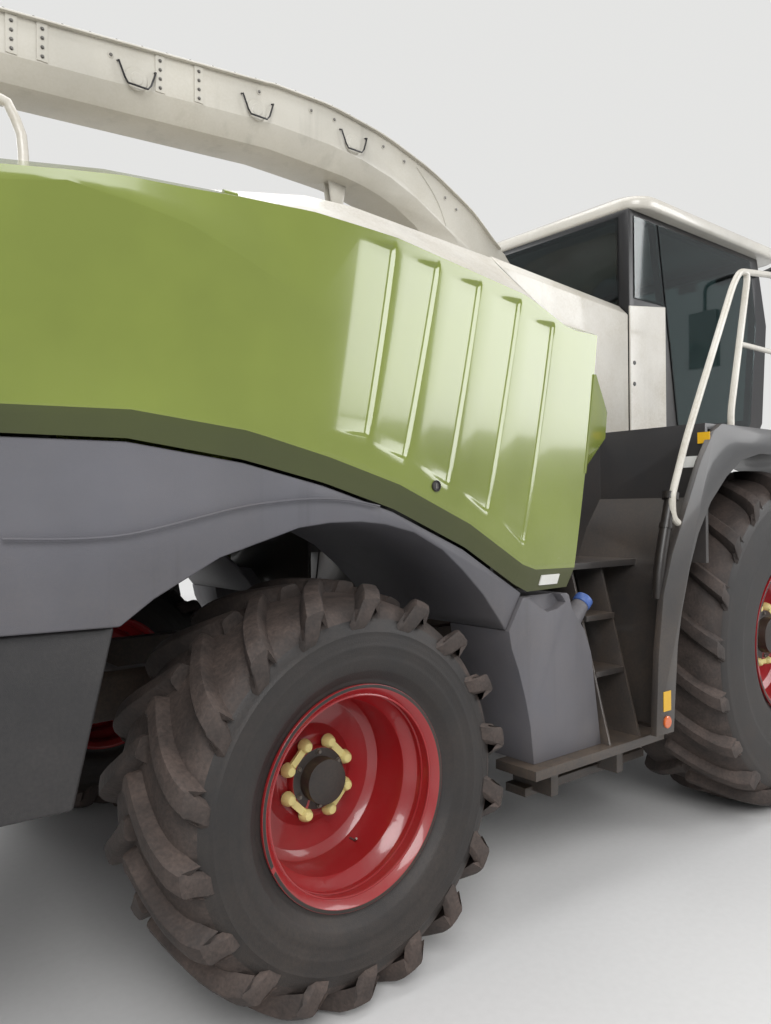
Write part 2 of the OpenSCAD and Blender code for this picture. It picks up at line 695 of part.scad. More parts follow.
module handrails() {
    y = arch_y - 20;
    foot = deck_z + seat_gap;
    color(paint_pale) from_axle() {
        both_sides() bent_tube([[1784.7, y, 1630.9], [1737, y, 1658], [1733, y, 1760], [1859, y, 2025],
            [2321, y, 2843], [2395, y, 2928], [2480, y, 2935], [2289, y, foot + 70], [2289, y, foot]],
            rail_r, [0, 1, 0], 60);
        mirror([0, 1, 0]) {
            bent_tube([[2430, y, 2931], [2737, y, 2970], [3840, y, 2985], [3840, y, foot]],
                rail_r, [0, 1, 0], 60);
            bar([2385, y, 2550], [3840, y, 2550], rail_r * 0.8);
        }
    }
}

// Cab

cab_side = [[cab_x, cab_z], [cab_x, roof_z], [3930, roof_z], [4060, 3000], [3990, 2300], [3800, cab_z]];
cab_inside = [[cab_x + cab_t, cab_z + cab_t], [cab_x + cab_t, roof_z + 10], [3880, roof_z + 10],
    [4010, 3000], [3942, 2320], [3775, cab_z + cab_t]];
door_hole = [[2905, 2180], [2690, 3400], [3800, 3400], [3875, 3000], [3790, 2300], [3690, 2180]];
quarter_hole = [[2440, 2950], [2440, 3400], [2640, 3400], [2720, 2950]];

module cab_shell() {
    color(black) from_axle() {
        difference() {
            slab(-cab_y, cab_y) polygon(cab_side);
            slab(-cab_y + cab_t, cab_y - cab_t) polygon(cab_inside);
            both_sides() {
                slab(cab_y - cab_t - 1, cab_y + 1) polygon(door_hole);
                slab(cab_y - cab_t - 1, cab_y + 1) polygon(quarter_hole);
            }
            bulkhead(cab_x - 1, cab_x + cab_t + 1) square_at(-860, 2700, 1720, 700);
            bulkhead(3850, 4200) square_at(-870, 2330, 1740, 1070);
        }
        for (z = door_knuckles) {
            translate([door_axis_x, cab_y + 25, z - 40]) cylinder(r = 18, h = 40 - seat_gap);
            block([door_axis_x - 18, cab_y - 5, z - 40], [door_axis_x + 55, cab_y + 25, z - seat_gap]);
        }
    }
}

module cab_roof() {
    color(paint_pale) from_axle() hull() {
        translate([0, 0, roof_z + seat_gap]) linear_extrude(70) roof_outline(0);
        translate([0, 0, roof_z + roof_h - 10]) linear_extrude(10) roof_outline(110);
    }
}

module roof_outline(inset) {
    r = 150;
    for (x = [cab_x + r + inset, 4150 - r - inset], y = [-1, 1])
        translate([x, y * (roof_y - r - inset)]) circle(r = r, $fn = 32);
}

glass_t = 6;
quarter_pane = [[2425, 2935], [2425, 3415], [2655, 3415], [2738, 2935]];
side_pane = [[2887, 2162], [2672, 3417], [3815, 3417], [3893, 3000], [3806, 2290], [3697, 2162]];

// Panes bonded on the shell. The left quarter pane sits on the inside.
module cab_glass() {
    out = cab_y + seat_gap;
    within = cab_y - cab_t - seat_gap;
    color(glass_tint) from_axle() {
        bulkhead(cab_x - glass_t - seat_gap, cab_x - seat_gap) square_at(-877, 2683, 1754, 734);
        slab(within - glass_t, within) polygon(quarter_pane);
        slab(-out - glass_t, -out) polygon(quarter_pane);
        slab(-out - glass_t, -out) polygon(side_pane);
        slab(-885, 885) polygon([[3942, 3410], [4060.5, 3000], [3992.5, 2320],
            [3998.5, 2320], [4067, 3000], [3948, 3410]]);
    }
}

door_axis_x = 2660;
door_knuckles = [2500, 3150];
door_out = [[2905 + door_gap, 2180 + door_gap], [2690 + door_gap, 3400 - door_gap],
    [3800 - door_gap, 3400 - door_gap], [3875 - door_gap, 3000], [3790 - door_gap, 2300],
    [3690 - door_gap, 2180 + door_gap]];
door_in = [[2975, 2250], [2770, 3340], [3750, 3340], [3812, 3000], [3725, 2310], [3665, 2250]];
door_pane = [[2957, 2235], [2752, 3355], [3763, 3355], [3828, 3000], [3740, 2302], [3672, 2235]];

module cab_door() {
    color(black) from_axle() {
        difference() {
            slab(cab_y - 40, cab_y + 5) polygon(door_out);
            slab(cab_y - 50, cab_y + 10) polygon(door_in);
        }
        for (z = door_knuckles) {
            block([door_axis_x, cab_y + 4, z], [2965 - (z - 2180) * 0.176, cab_y + 25, z + 60]);
            translate([door_axis_x, cab_y + 25, z]) cylinder(r = 18, h = 60);
        }
    }
}

module door_glass() {
    within = cab_y - 40 - seat_gap;
    color(glass_tint) from_axle() slab(within - glass_t, within) polygon(door_pane);
}

module seat() {
    z = cab_z + cab_t + seat_gap;
    color(black) from_axle() {
        block([2800, -180, z], [3150, 180, z + 260]);
        slab(-260, 260) polygon([[2760, z + 250], [2780, z + 380], [3300, z + 390], [3310, z + 260]]);
        slab(-240, 240) polygon([[2780, z + 370], [2660, z + 960], [2760, z + 980], [2920, z + 375]]);
    }
}

module steering_column() {
    z = cab_z + cab_t + seat_gap;
    color(black) from_axle() {
        slab(-60, 60) polygon([[3560, z], [3480, z + 560], [3560, z + 580], [3720, z]]);
        translate([3510, 0, z + 590]) rotate([0, -25, 0]) rotate_extrude()
            translate([190, 0]) circle(r = 14, $fn = 16);
        translate([3510, 0, z + 590]) rotate([0, -25, 0]) block([-185, -20, -20], [185, 20, 8]);
    }
}

module mirrors() {
    color(black) from_axle() both_sides() {
        bent_tube([[3890, cab_y + seat_gap, 3330], [3890, cab_y + 50, 3330], [3960, 1150, 3390],
            [4000, 1390, 3380], [4000, 1400, 2800]], 15, [1, 0, 0], 60);
        block([3975, 1290, 2760], [4030, 1510, 3180]);
    }
}
module work_lamps() {
    color([0.85, 0.83, 0.75]) from_axle() both_sides() {
        for (y = [250, 560]) block([4080, y, roof_z - 70], [4130, y + 150, roof_z]);
    }
}

// Spout

foot_deep = 610;
peak_x = spout_x + 34.4 + foot_deep / 2 - elbow_r - (boom_r - elbow_r) * sin(elbow_a);
elbow_top = [peak_x + boom_r * sin(elbow_a), peak_z - boom_r + boom_r * cos(elbow_a)];
elbow_mid = elbow_top - elbow_r * [sin(elbow_a), cos(elbow_a)];
boom_foot = [peak_x - boom_r * sin(boom_slope), peak_z - boom_r + boom_r * cos(boom_slope)];
boom_end_x = spout_tip_x + flap_reach;
boom_end = [boom_end_x, boom_foot.y - (boom_foot.x - boom_end_x) * tan(boom_slope)];

// Point on the spout's top line at an angle of its two arcs.
function spout_top(a) = a <= elbow_a
    ? [peak_x, peak_z - boom_r] + boom_r * [sin(a), cos(a)]
    : elbow_mid + elbow_r * [sin(a), cos(a)];

// Point on the spout's underside, along a quarter ellipse down to its foot.
belly_x = peak_x + 150;
belly_deep = 300;
tip_deep = 215;
tip_taper = 0.86;
foot_x = elbow_mid.x + elbow_r - foot_deep;
belly_a = asin((belly_x - peak_x) / boom_r);
belly_z = spout_top(belly_a).y - belly_deep;
function spout_belly(a) = let (turn = 90 * (a - belly_a) / (90 - belly_a))
    [belly_x + (foot_x - belly_x) * sin(turn), elbow_mid.y + (belly_z - elbow_mid.y) * cos(turn)];

// Stations of the spout: top point, bottom point and share of the width.
spout_rows = concat(
    [[boom_end, boom_end + tip_deep * [sin(boom_slope), -cos(boom_slope)], tip_taper],
     [boom_foot, boom_foot + (belly_deep - 15) * [sin(boom_slope), -cos(boom_slope)], 1]],
    [for (k = [0 : 4]) let (a = belly_a + (elbow_a - belly_a) * k / 4) [spout_top(a), spout_belly(a), 1]],
    [for (k = [1 : 4]) let (a = elbow_a + (90 - elbow_a) * k / 4) [spout_top(a), spout_belly(a), 1]]);

// Ring of the spout's duct, drawn in by a wall's thickness.
function spout_ring(row, wall) = let (
    down = unit(row[1] - row[0]), deep = norm(row[1] - row[0]),
    w = spout_w / 2 * row[2] - wall,
    side = deep * 0.66,
    floor_w = w * 0.62)
    [for (p = [[-w, wall], [w, wall], [w, side], [floor_w, deep - wall], [-floor_w, deep - wall], [-w, side]])
        [row[0].x + p.y * down.x, p.x, row[0].y + p.y * down.y]];

// Height of the spout's underside over a place on the quarter ellipse.
function belly_height(x) = elbow_mid.y
    + (belly_z - elbow_mid.y) * sqrt(1 - pow((x - belly_x) / (foot_x - belly_x), 2));

spout_hinge = [elbow_mid.x + elbow_r - 60, elbow_mid.y + 30];
flap_hinge = boom_end + [20, -30];
// Foot and eye of the spout's lift cylinder, and the way between them.
lift_foot = [foot_x - 149.4, 0, 3080];
lift_eye = [belly_x + 160, 0, belly_z - 153.4];
lift_way = unit(lift_eye - lift_foot);
turntable_z = 2900;

module spout_base() {
    x0 = foot_x;
    x1 = foot_x + foot_deep;
    w = spout_w / 2;
    low = turntable_z + 60;
    top = elbow_mid.y - 5.7;
    foot = lift_foot;
    color(paint_pale) from_axle() {
        translate([spout_x, 0, turntable_z + seat_gap]) difference() {
            cylinder(r = ring_r, h = 70);
            translate([0, 0, -1]) cylinder(r = 180, h = 100);
        }
        both_sides() {
            slab(w - 10, w) polygon([[x0, low], [x0, top], [x1 - 120, top], [x1 - 120, top - 58],
                [x1, top - 58], [x1, low]]);
            difference() {
                slab(w + 2, w + 16) polygon([[spout_hinge.x - 60, low],
                    [spout_hinge.x - 45, spout_hinge.y + 30], [spout_hinge.x + 30, spout_hinge.y + 40],
                    [x1, low]]);
                shaft(spout_hinge.x, spout_hinge.y, 20 + turn_gap, 0, 400);
            }
            slab(25, 40) polygon([[x0 + 40, low], [x0 + 40, low + 65], [foot.x + 20, foot.z + 30],
                [foot.x - 30, foot.z + 20], [foot.x - 40, foot.z - 20], [foot.x + 50, low + 10],
                [foot.x + 80, low]]);
        }
        block([x0, -w, low], [x0 + 10, w, top]);
        block([x1 - 10, -w, low], [x1, w, top - 58]);
        shaft(foot.x, foot.z, 18, -40, 40);
    }
}

module spout_boom() {
    n = len(spout_rows);
    color(paint_pale) from_axle() {
        difference() {
            loft([for (row = spout_rows) spout_ring(row, 0)]);
            loft([for (i = [0 : n - 1]) spout_ring(spout_rows[i], spout_t)
                + (i == 0 ? [for (k = [1 : 6]) [-5, 0, 0]] : i == n - 1 ? [for (k = [1 : 6]) [0, 0, -5]]
                : [for (k = [1 : 6]) [0, 0, 0]])]);
        }
        both_sides() {
            shaft(spout_hinge.x, spout_hinge.y, 20, spout_w / 2 - 4, spout_w / 2 + 30);
            shaft(flap_hinge.x, flap_hinge.y, 12, 159, 182);
            slab(18 + seat_gap, 30) polygon([[lift_eye.x - 55, belly_height(lift_eye.x - 55) + 3],
                [lift_eye.x - 30, lift_eye.z - 25], [lift_eye.x + 30, lift_eye.z - 25],
                [lift_eye.x + 60, belly_height(lift_eye.x + 60) + 5]]);
            shaft(lift_eye.x, lift_eye.z, 15, 25, 38);
        }
    }
}

// Flap at the spout's end. Its tip is the machine's rearmost point.
module spout_flap() {
    w = spout_w / 2 * tip_taper + 12;
    tip = -flap_reach;
    color(paint_pale) from_axle() difference() {
        translate([boom_end.x, 0, boom_end.y]) {
            slab(-w, w) polygon([[40, 22], [40, 14], [0, 10], [-250, -38], [tip + 10, -152], [tip, -146],
                [-255, -26], [0, 22]]);
            both_sides() slab(w - 8, w) polygon([[40, 22], [40, -60], [-30, -110], [-250, -180],
                [tip + 12, -152], [-250, -30], [0, 16]]);
        }
        shaft(flap_hinge.x, flap_hinge.y, 12 + turn_gap, -400, 400);
    }
}

// A cylinder's barrel from its foot's eye along a way, bored for its rod.
// The neck keeps the barrel clear of what holds the eye.
module barrel(foot, way, l, r, eye_r, eye_w, pin_r, rod_r) {
    difference() {
        union() {
            bar(foot + way * eye_r * 0.6, foot + way * 60, eye_w * 0.9);
            bar(foot + way * 44, foot + way * l, r);
            shaft(foot.x, foot.z, eye_r, foot.y - eye_w, foot.y + eye_w);
        }
        bar(foot + way * 56, foot + way * (l + 1), rod_r + turn_gap);
        shaft(foot.x, foot.z, pin_r + turn_gap, foot.y - eye_w - 1, foot.y + eye_w + 1);
    }
}

// A cylinder's rod from its eye back along a way.
module rod(eye, way, l, r, eye_r, eye_w) {
    bar(eye, eye - way * l, r);
    shaft(eye.x, eye.z, eye_r, eye.y - eye_w, eye.y + eye_w);
}

module spout_barrel() { color(steel) from_axle() barrel(lift_foot, lift_way, 500, 35, 38, 24, 18, 17); }
module spout_rod() { color(steel) from_axle() rod(lift_eye, lift_way, 570, 17, 30, 18); }

// Feed housing

feed_roll_x = nose_x - 220;
feed_roll_z = [1080, 760];

module feed_housing() {
    x0 = feed_pivot_x - 20;
    x1 = nose_x - 60;
    top = feed_pivot_z + 300;
    color(dark_grey) from_axle() {
        both_sides() {
            difference() {
                union() {
                    slab(feed_y - 30, feed_y) polygon([[x0, feed_pivot_z - 330], [x0, top],
                        [x1 + 2, top - 50], [x1 + 2, 560]]);
                    shaft(feed_pivot_x, feed_pivot_z, 75, feed_y - 30, feed_y);
                }
                shaft(feed_pivot_x, feed_pivot_z, 35 + turn_gap, 0, 600);
                for (z = feed_roll_z) shaft(feed_roll_x, z, 30 + turn_gap, 0, 600);
            }
            shaft(feed_cyl_eye.x, feed_cyl_eye.y, 35, feed_y - 5, feed_cyl_y - eye_w - seat_gap);
        }
        slab(-feed_y + 29, feed_y - 29) polygon([[x0, top - 30], [x0, top], [x1 + 2, top - 50],
            [x1 + 2, top - 80]]);
        difference() {
            bulkhead(x1, nose_x) polygon([[-560, 520], [-620, 1300], [620, 1300], [560, 520]]);
            bulkhead(x1 - 10, nose_x + 10) square_at(-feed_y + 40, 580, 2 * feed_y - 80, 620);
        }
    }
}

module feed_roll(x, z) {
    color(steel) from_axle() {
        shaft(x, z, feed_roll_r - 20, -feed_y + 50, feed_y - 50);
        shaft(x, z, 30, -feed_y - 2, feed_y + 2);
        for (i = [0 : 9]) translate([x, 0, z]) rotate([0, 36 * i, 0])
            block([-6, -feed_y + 50, feed_roll_r - 30], [6, feed_y - 50, feed_roll_r]);
    }
}

module feed_roll_upper() { feed_roll(feed_roll_x, feed_roll_z[0]); }
module feed_roll_lower() { feed_roll(feed_roll_x, feed_roll_z[1]); }

feed_way = unit([feed_cyl_eye.x - feed_cyl_foot.x, 0, feed_cyl_eye.y - feed_cyl_foot.y]);

module feed_barrels() {
    color(steel) from_axle() both_sides() barrel([feed_cyl_foot.x, feed_cyl_y, feed_cyl_foot.y],
        feed_way, 480, 32, 36, eye_w, 20, 16);
}

module feed_rods() {
    color(steel) from_axle() both_sides() rod([feed_cyl_eye.x, feed_cyl_y, feed_cyl_eye.y],
        feed_way, 600, 16, 32, eye_w);
}

frame();
engine();
drum_housing();
front_axle();
rear_axle();
knuckle_left();
knuckle_right();
rim_front_left();
rim_front_right();
rim_rear_left();
rim_rear_right();
tyre_front_left();
tyre_front_right();
tyre_rear_left();
tyre_rear_right();
side_tanks();
tank_cap();
rear_fenders();
rear_boxes();
side_panel_left();
side_panel_right();
engine_hood();
mid_cover();
rear_wall();
counterweight();
tail_lamps();
platforms();
ladders();
handrails();
cab_shell();
cab_roof();
cab_glass();
cab_door();
door_glass();
seat();
steering_column();
mirrors();
work_lamps();
spout_base();
spout_boom();
spout_flap();
spout_barrel();
spout_rod();
feed_housing();
feed_roll_upper();
feed_roll_lower();
feed_barrels();
feed_rods();
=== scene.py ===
import json
import math
from collections import namedtuple
from itertools import product

import bmesh
import bpy
from bpy.props import FloatProperty, FloatVectorProperty, PointerProperty
from mathutils import Matrix, Vector


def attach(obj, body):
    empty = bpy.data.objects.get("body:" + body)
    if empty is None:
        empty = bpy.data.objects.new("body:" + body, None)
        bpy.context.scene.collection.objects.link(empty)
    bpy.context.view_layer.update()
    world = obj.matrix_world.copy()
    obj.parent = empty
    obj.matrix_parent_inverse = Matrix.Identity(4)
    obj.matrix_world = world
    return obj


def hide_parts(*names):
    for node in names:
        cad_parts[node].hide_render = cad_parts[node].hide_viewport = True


bl_info = {
    "name": "Forage harvester looks",
    "version": (1, 0, 0),
    "blender": (4, 5, 0),
    "location": "View3D > Sidebar > Harvester",
    "description": "Dresses the forage harvester's frame with its finished pieces, materials and stage",
    "category": "Object",
}

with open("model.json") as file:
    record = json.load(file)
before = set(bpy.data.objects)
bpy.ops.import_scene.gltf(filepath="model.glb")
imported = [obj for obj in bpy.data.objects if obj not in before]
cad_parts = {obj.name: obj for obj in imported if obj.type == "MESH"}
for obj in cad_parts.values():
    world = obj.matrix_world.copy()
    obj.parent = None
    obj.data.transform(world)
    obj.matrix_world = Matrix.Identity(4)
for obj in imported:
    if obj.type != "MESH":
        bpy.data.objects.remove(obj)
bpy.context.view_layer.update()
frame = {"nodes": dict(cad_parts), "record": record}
BODIES = frame["record"]["behaviour"]["bodies"]
BODY_OF = {node: body for body, nodes in BODIES.items() for node in nodes}

# Where the machine's own parts stand, in metres. A place "from the rear axle" has AXLE_X added to its x.
AXLE_X = -0.85
WHEELBASE = 3.0
SIDES = ((1, "left"), (-1, "right"))

# A wheel's middle, its tyre, its rim, how far the disc lies outside the middle, and its hub and studs.
Wheel = namedtuple("Wheel", "end x y radius width rim_radius rim_width bars disc hub studs")
WHEELS = (
    Wheel("rear", AXLE_X, y=1.205, radius=0.725, width=0.600, rim_radius=0.381, rim_width=0.500,
          bars=18, disc=-0.026, hub=0.112, studs=8),
    Wheel("front", AXLE_X + WHEELBASE, y=1.280, radius=0.960, width=0.680, rim_radius=0.431, rim_width=0.580,
          bars=20, disc=0.100, hub=0.142, studs=10))


def srgb(*steps):
    """A colour written as 0 to 255 steps, in the linear values that Blender stores."""
    parts = [step / 255 for step in steps]
    return tuple(c / 12.92 if c <= 0.04045 else ((c + 0.055) / 1.055) ** 2.4 for c in parts)


# Materials

MATERIALS = {}
BACKDROP = (0.78, 0.78, 0.77)
DUST_COLOUR = srgb(128, 106, 84)
GLASS_FILM = srgb(150, 146, 138)
DUSTY_ROUGHNESS = 0.8
PAINT_GRAIN = 160
MOULDED_GRAIN = 420


class Nodes:
    """Builds one node tree with short calls."""

    def __init__(self, tree):
        self.tree = tree

    def put(self, value, socket):
        """Links another socket to this one, or writes a plain value into it."""
        if isinstance(value, bpy.types.NodeSocket):
            self.tree.links.new(value, socket)
        elif socket.type == "RGBA":
            socket.default_value = (*value, 1.0)
        else:
            socket.default_value = value

    def add(self, kind, inputs=None, **settings):
        node = self.tree.nodes.new(kind)
        for key, value in settings.items():
            setattr(node, key, value)
        for key, value in (inputs or {}).items():
            self.put(value, node.inputs[key])
        return node

    def end(self, kind, value):
        """Ends the tree in its output node."""
        self.put(value, self.add(kind).inputs[0])

    def end_shape(self, shape, material):
        """Ends a geometry tree: its instances are made real and take their material."""
        real = self.add("GeometryNodeRealizeInstances", {0: shape})
        paint = self.add("GeometryNodeSetMaterial", {0: real.outputs[0], "Material": material})
        self.end("NodeGroupOutput", paint.outputs[0])

    def group(self, name, **values):
        """A shared effect, placed with its own values."""
        return self.add("ShaderNodeGroup", values, node_tree=bpy.data.node_groups[name]).outputs[0]

    def place(self):
        return self.add("ShaderNodeTexCoord").outputs["Object"]

    def z_of(self, vector):
        return self.add("ShaderNodeSeparateXYZ", {0: vector}).outputs["Z"]

    def noise(self, place, scale, detail, roughness=0.5):
        values = {"Vector": place, "Scale": scale, "Detail": detail, "Roughness": roughness}
        return self.add("ShaderNodeTexNoise", values).outputs["Fac"]

    def math(self, kind, a, b, clamp=False):
        return self.add("ShaderNodeMath", {0: a, 1: b}, operation=kind, use_clamp=clamp).outputs[0]

    def remap(self, value, low, high, to_low=0.0, to_high=1.0):
        values = {"Value": value, "From Min": low, "From Max": high, "To Min": to_low, "To Max": to_high}
        return self.add("ShaderNodeMapRange", values).outputs["Result"]

    def mix(self, factor, a, b):
        """Two colours mixed by a factor."""
        node = self.add("ShaderNodeMix", data_type="RGBA")
        values = {"Factor_Float": factor, "A_Color": a, "B_Color": b}
        for socket in node.inputs:
            if socket.identifier in values:
                self.put(values[socket.identifier], socket)
        return next(socket for socket in node.outputs if socket.identifier == "Result_Color")


def new_group(name, output, **inputs):
    """An empty shader group with named inputs, their defaults and one output."""
    tree = bpy.data.node_groups.new(name, "ShaderNodeTree")
    for key, value in inputs.items():
        socket = tree.interface.new_socket(key, in_out="INPUT", socket_type="NodeSocketFloat")
        socket.default_value = value
    tree.interface.new_socket(output, in_out="OUTPUT", socket_type="NodeSocketFloat")
    n = Nodes(tree)
    return n, n.add("NodeGroupInput").outputs


def dust_group():
    """Dust that lies low on the machine, on faces that look up, and in clouds."""
    n, given = new_group("Dust", "Mask", Amount=0.5, Low=0.3, High=1.8, Scale=3.0, Upward=0.4)
    place = n.place()
    low = n.remap(n.z_of(place), given["Low"], given["High"], 1.0, 0.0)
    up = n.z_of(n.add("ShaderNodeNewGeometry").outputs["Normal"])
    up = n.math("MULTIPLY", n.math("MAXIMUM", up, 0.0), given["Upward"])
    clouds = n.remap(n.noise(place, given["Scale"], 8.0, 0.65), 0.38, 0.66, 0.5, 1.25)
    specks = n.remap(n.noise(place, 90.0, 3.0), 0.3, 0.7, 0.6, 1.1)
    dust = n.math("MULTIPLY", n.math("MULTIPLY", n.math("ADD", low, up), clouds), specks)
    n.end("NodeGroupOutput", n.math("MULTIPLY", dust, given["Amount"], clamp=True))


def streak_group():
    """Faint runs of dirt that rain left down a wall."""
    n, given = new_group("Runs", "Mask", Amount=0.5, Scale=9.0)
    place = n.place()
    stretched = n.add("ShaderNodeMapping", {"Vector": place, "Scale": (1.0, 1.0, 0.06)}).outputs[0]
    runs = n.remap(n.noise(stretched, given["Scale"], 5.0, 0.6), 0.54, 0.72)
    patches = n.remap(n.noise(place, 1.3, 2.0), 0.42, 0.6)
    runs = n.math("MULTIPLY", runs, patches)
    n.end("NodeGroupOutput", n.math("MULTIPLY", runs, given["Amount"], clamp=True))


def grain_group():
    """The fine grain of moulded plastic, orange peel or rough rubber, as a height."""
    n, given = new_group("Grain", "Height", Scale=300.0, Wave=12.0)
    place = n.place()
    fine = n.noise(place, given["Scale"], 3.0)
    n.end("NodeGroupOutput", n.math("ADD", fine, n.noise(place, given["Wave"], 1.0)))


def new_material(name):
    """An empty material, kept under its name, and what builds its nodes."""
    material = bpy.data.materials.new(name)
    material.use_nodes = True
    material.node_tree.nodes.clear()
    MATERIALS[name] = material
    return Nodes(material.node_tree)


def finish(name, colour, roughness, metallic=0.0, coat=0.0, dust=0.35, dust_low=0.2, dust_high=1.7,
           dust_scale=3.0, dust_colour=DUST_COLOUR, upward=0.35, runs=0.0, grain=0.15, grain_scale=300,
           wave=12, shade=0.06):
    """One finish with its colour variation, dust, runs and grain."""
    n = new_material(name)
    drift = n.noise(n.place(), 1.7, 4.0)
    darker = tuple(c * (1 - 2.2 * shade) for c in colour)
    lighter = tuple(min(1.0, c * (1 + 1.4 * shade)) for c in colour)
    base = n.mix(n.remap(drift, 0.35, 0.65), darker, lighter)
    if runs:
        base = n.mix(n.group("Runs", Amount=runs), base, tuple(c * 0.45 for c in colour))
    veil = n.group("Dust", Amount=dust, Low=dust_low, High=dust_high, Scale=dust_scale, Upward=upward)
    base = n.mix(veil, base, dust_colour)
    rough = n.remap(veil, 0.0, 1.0, roughness, max(roughness, DUSTY_ROUGHNESS))
    rough = n.math("ADD", rough, n.remap(drift, 0.3, 0.7, -0.03, 0.03))
    height = n.group("Grain", Scale=grain_scale, Wave=wave)
    bump = n.add("ShaderNodeBump", {"Height": height, "Strength": grain, "Distance": 0.002})
    shader = n.add("ShaderNodeBsdfPrincipled", {
        "Base Color": base, "Roughness": rough, "Metallic": metallic, "Coat Weight": coat,
        "Coat Roughness": 0.08, "Normal": bump.outputs[0]})
    n.end("ShaderNodeOutputMaterial", shader.outputs[0])


def glass_finish(name, colour):
    """Tinted safety glass with a faint film of dust."""
    n = new_material(name)
    veil = n.group("Dust", Amount=0.12, Low=1.5, High=3.6, Scale=5.0, Upward=0.1)
    shader = n.add("ShaderNodeBsdfPrincipled", {
        "Base Color": n.mix(veil, colour, GLASS_FILM), "Roughness": n.remap(veil, 0.0, 1.0, 0.03, 0.5),
        "Metallic": 0.0, "Transmission Weight": 1.0, "IOR": 1.45})
    n.end("ShaderNodeOutputMaterial", shader.outputs[0])


def make_materials(colours):
    """Every finish; the colours are those that the user can change."""
    dust_group()
    streak_group()
    grain_group()
    # A dark copy of the panels' green for the low band under the crease: painted shade, since the paint there
    # is the same green.
    painted_shade_green = tuple(c * 0.26 for c in colours.panel)
    finish("green_paint", colours.panel, 0.2, coat=0.7, dust=0.25, dust_high=2.2,
           dust_colour=srgb(150, 150, 120), grain=0.03, grain_scale=PAINT_GRAIN, shade=0.05)
    finish("green_paint_painted_shade", painted_shade_green, 0.34, coat=0.15, dust=0.2, dust_high=2.0,
           grain=0.03, grain_scale=PAINT_GRAIN)
    finish("pale_paint", colours.cover, 0.28, coat=0.5, dust=0.45, dust_low=1.8, dust_high=5.0,
           dust_colour=srgb(150, 138, 112), upward=0.5, runs=0.25, grain=0.04, grain_scale=PAINT_GRAIN)
    finish("spout_paint", srgb(186, 183, 174), 0.34, coat=0.3, dust=0.42, dust_low=2.0, dust_high=5.0,
           dust_colour=srgb(140, 130, 104), upward=0.55, runs=0.4, grain=0.06)
    finish("red_paint", colours.rim, 0.27, coat=0.6, dust=0.3, dust_high=1.4,
           dust_colour=srgb(120, 70, 60), upward=0.5, grain=0.04)
    finish("dark_paint", srgb(40, 41, 43), 0.42, coat=0.2, dust=0.28, dust_high=2.2, upward=0.5, grain=0.12)
    finish("black_paint", srgb(30, 30, 32), 0.4, coat=0.2, dust=0.5, dust_high=1.9, grain=0.1)
    finish("grey_plastic", colours.plastic, 0.5, dust=0.5, dust_high=2.1, dust_colour=srgb(112, 104, 98),
           runs=0.5, grain=0.35, grain_scale=MOULDED_GRAIN, shade=0.08)
    finish("box_plastic", srgb(30, 30, 32), 0.42, dust=0.3, dust_high=2.1, dust_colour=srgb(96, 90, 86),
           runs=0.4, grain=0.3, grain_scale=MOULDED_GRAIN)
    finish("black_trim", srgb(20, 20, 22), 0.35, dust=0.15, dust_high=3.0)
    finish("yellow_plastic", srgb(214, 200, 132), 0.4, dust=0.2, dust_high=1.8, grain=0.1)
    finish("blue_plastic", colours.cap, 0.4, dust=0.3, dust_high=2.2, dust_colour=srgb(110, 116, 128),
           grain=0.2)
    finish("tyre_side", srgb(21, 21, 22), 0.5, dust=0.24, dust_low=0.1, dust_high=2.4, dust_scale=4.0,
           dust_colour=srgb(92, 78, 68), upward=0.3, grain=0.5, grain_scale=240, shade=0.12)
    finish("tyre_tread", srgb(27, 25, 24), 0.7, dust=0.46, dust_low=0.1, dust_high=3.5, dust_scale=7.0,
           dust_colour=srgb(104, 88, 80), upward=0.4, grain=0.9, grain_scale=90, wave=30, shade=0.2)
    finish("steel", srgb(120, 118, 114), 0.42, metallic=0.9, dust=0.4, dust_high=2.4, grain=0.2)
    finish("chrome", srgb(190, 190, 192), 0.12, metallic=1.0, dust=0.1, grain=0.02)
    finish("seat_cloth", srgb(44, 45, 50), 0.9, dust=0.1, grain=0.9, grain_scale=700)
    finish("label_white", srgb(226, 226, 222), 0.35, dust=0.25, dust_high=2.6, grain=0.02)
    finish("label_yellow", srgb(226, 176, 32), 0.35, dust=0.3, dust_high=2.6, grain=0.02)
    for name, colour, roughness, dust, dust_high in (
            ("lens_white", srgb(214, 214, 208), 0.12, 0.12, 5.0),
            ("lens_red", srgb(140, 16, 16), 0.15, 0.25, 2.2),
            ("lens_orange", srgb(214, 96, 20), 0.15, 0.2, 2.0)):
        finish(name, colour, roughness, coat=0.8, dust=dust, dust_high=dust_high, grain=0.3, grain_scale=60)
    glass_finish("cab_glass", srgb(104, 122, 122))


# Mesh tools

# Corners of a box by number, where x changes last and z first.
BOX_FACES = ((0, 1, 3, 2), (4, 6, 7, 5), (0, 4, 5, 1), (2, 3, 7, 6), (0, 2, 6, 4), (1, 5, 7, 3))
PARTS_TREE = "Parts at points"


def mesh_object(name, mesh):
    ob = bpy.data.objects.new(name, mesh)
    bpy.context.scene.collection.objects.link(ob)
    return ob


def mesh_from(name, points, faces):
    mesh = bpy.data.meshes.new(name)
    mesh.from_pydata([tuple(p) for p in points], [], faces)
    mesh.validate()
    return mesh


def built(bm, name):
    """A new object with the shape that was built."""
    mesh = bpy.data.meshes.new(name)
    bm.to_mesh(mesh)
    bm.free()
    return mesh_object(name, mesh)


def settle(ob):
    """Applies the modifiers of a piece, so that a plain mesh is left."""
    bpy.context.view_layer.update()
    shape = bpy.data.meshes.new_from_object(ob.evaluated_get(bpy.context.evaluated_depsgraph_get()))
    ob.modifiers.clear()
    ob.data = shape


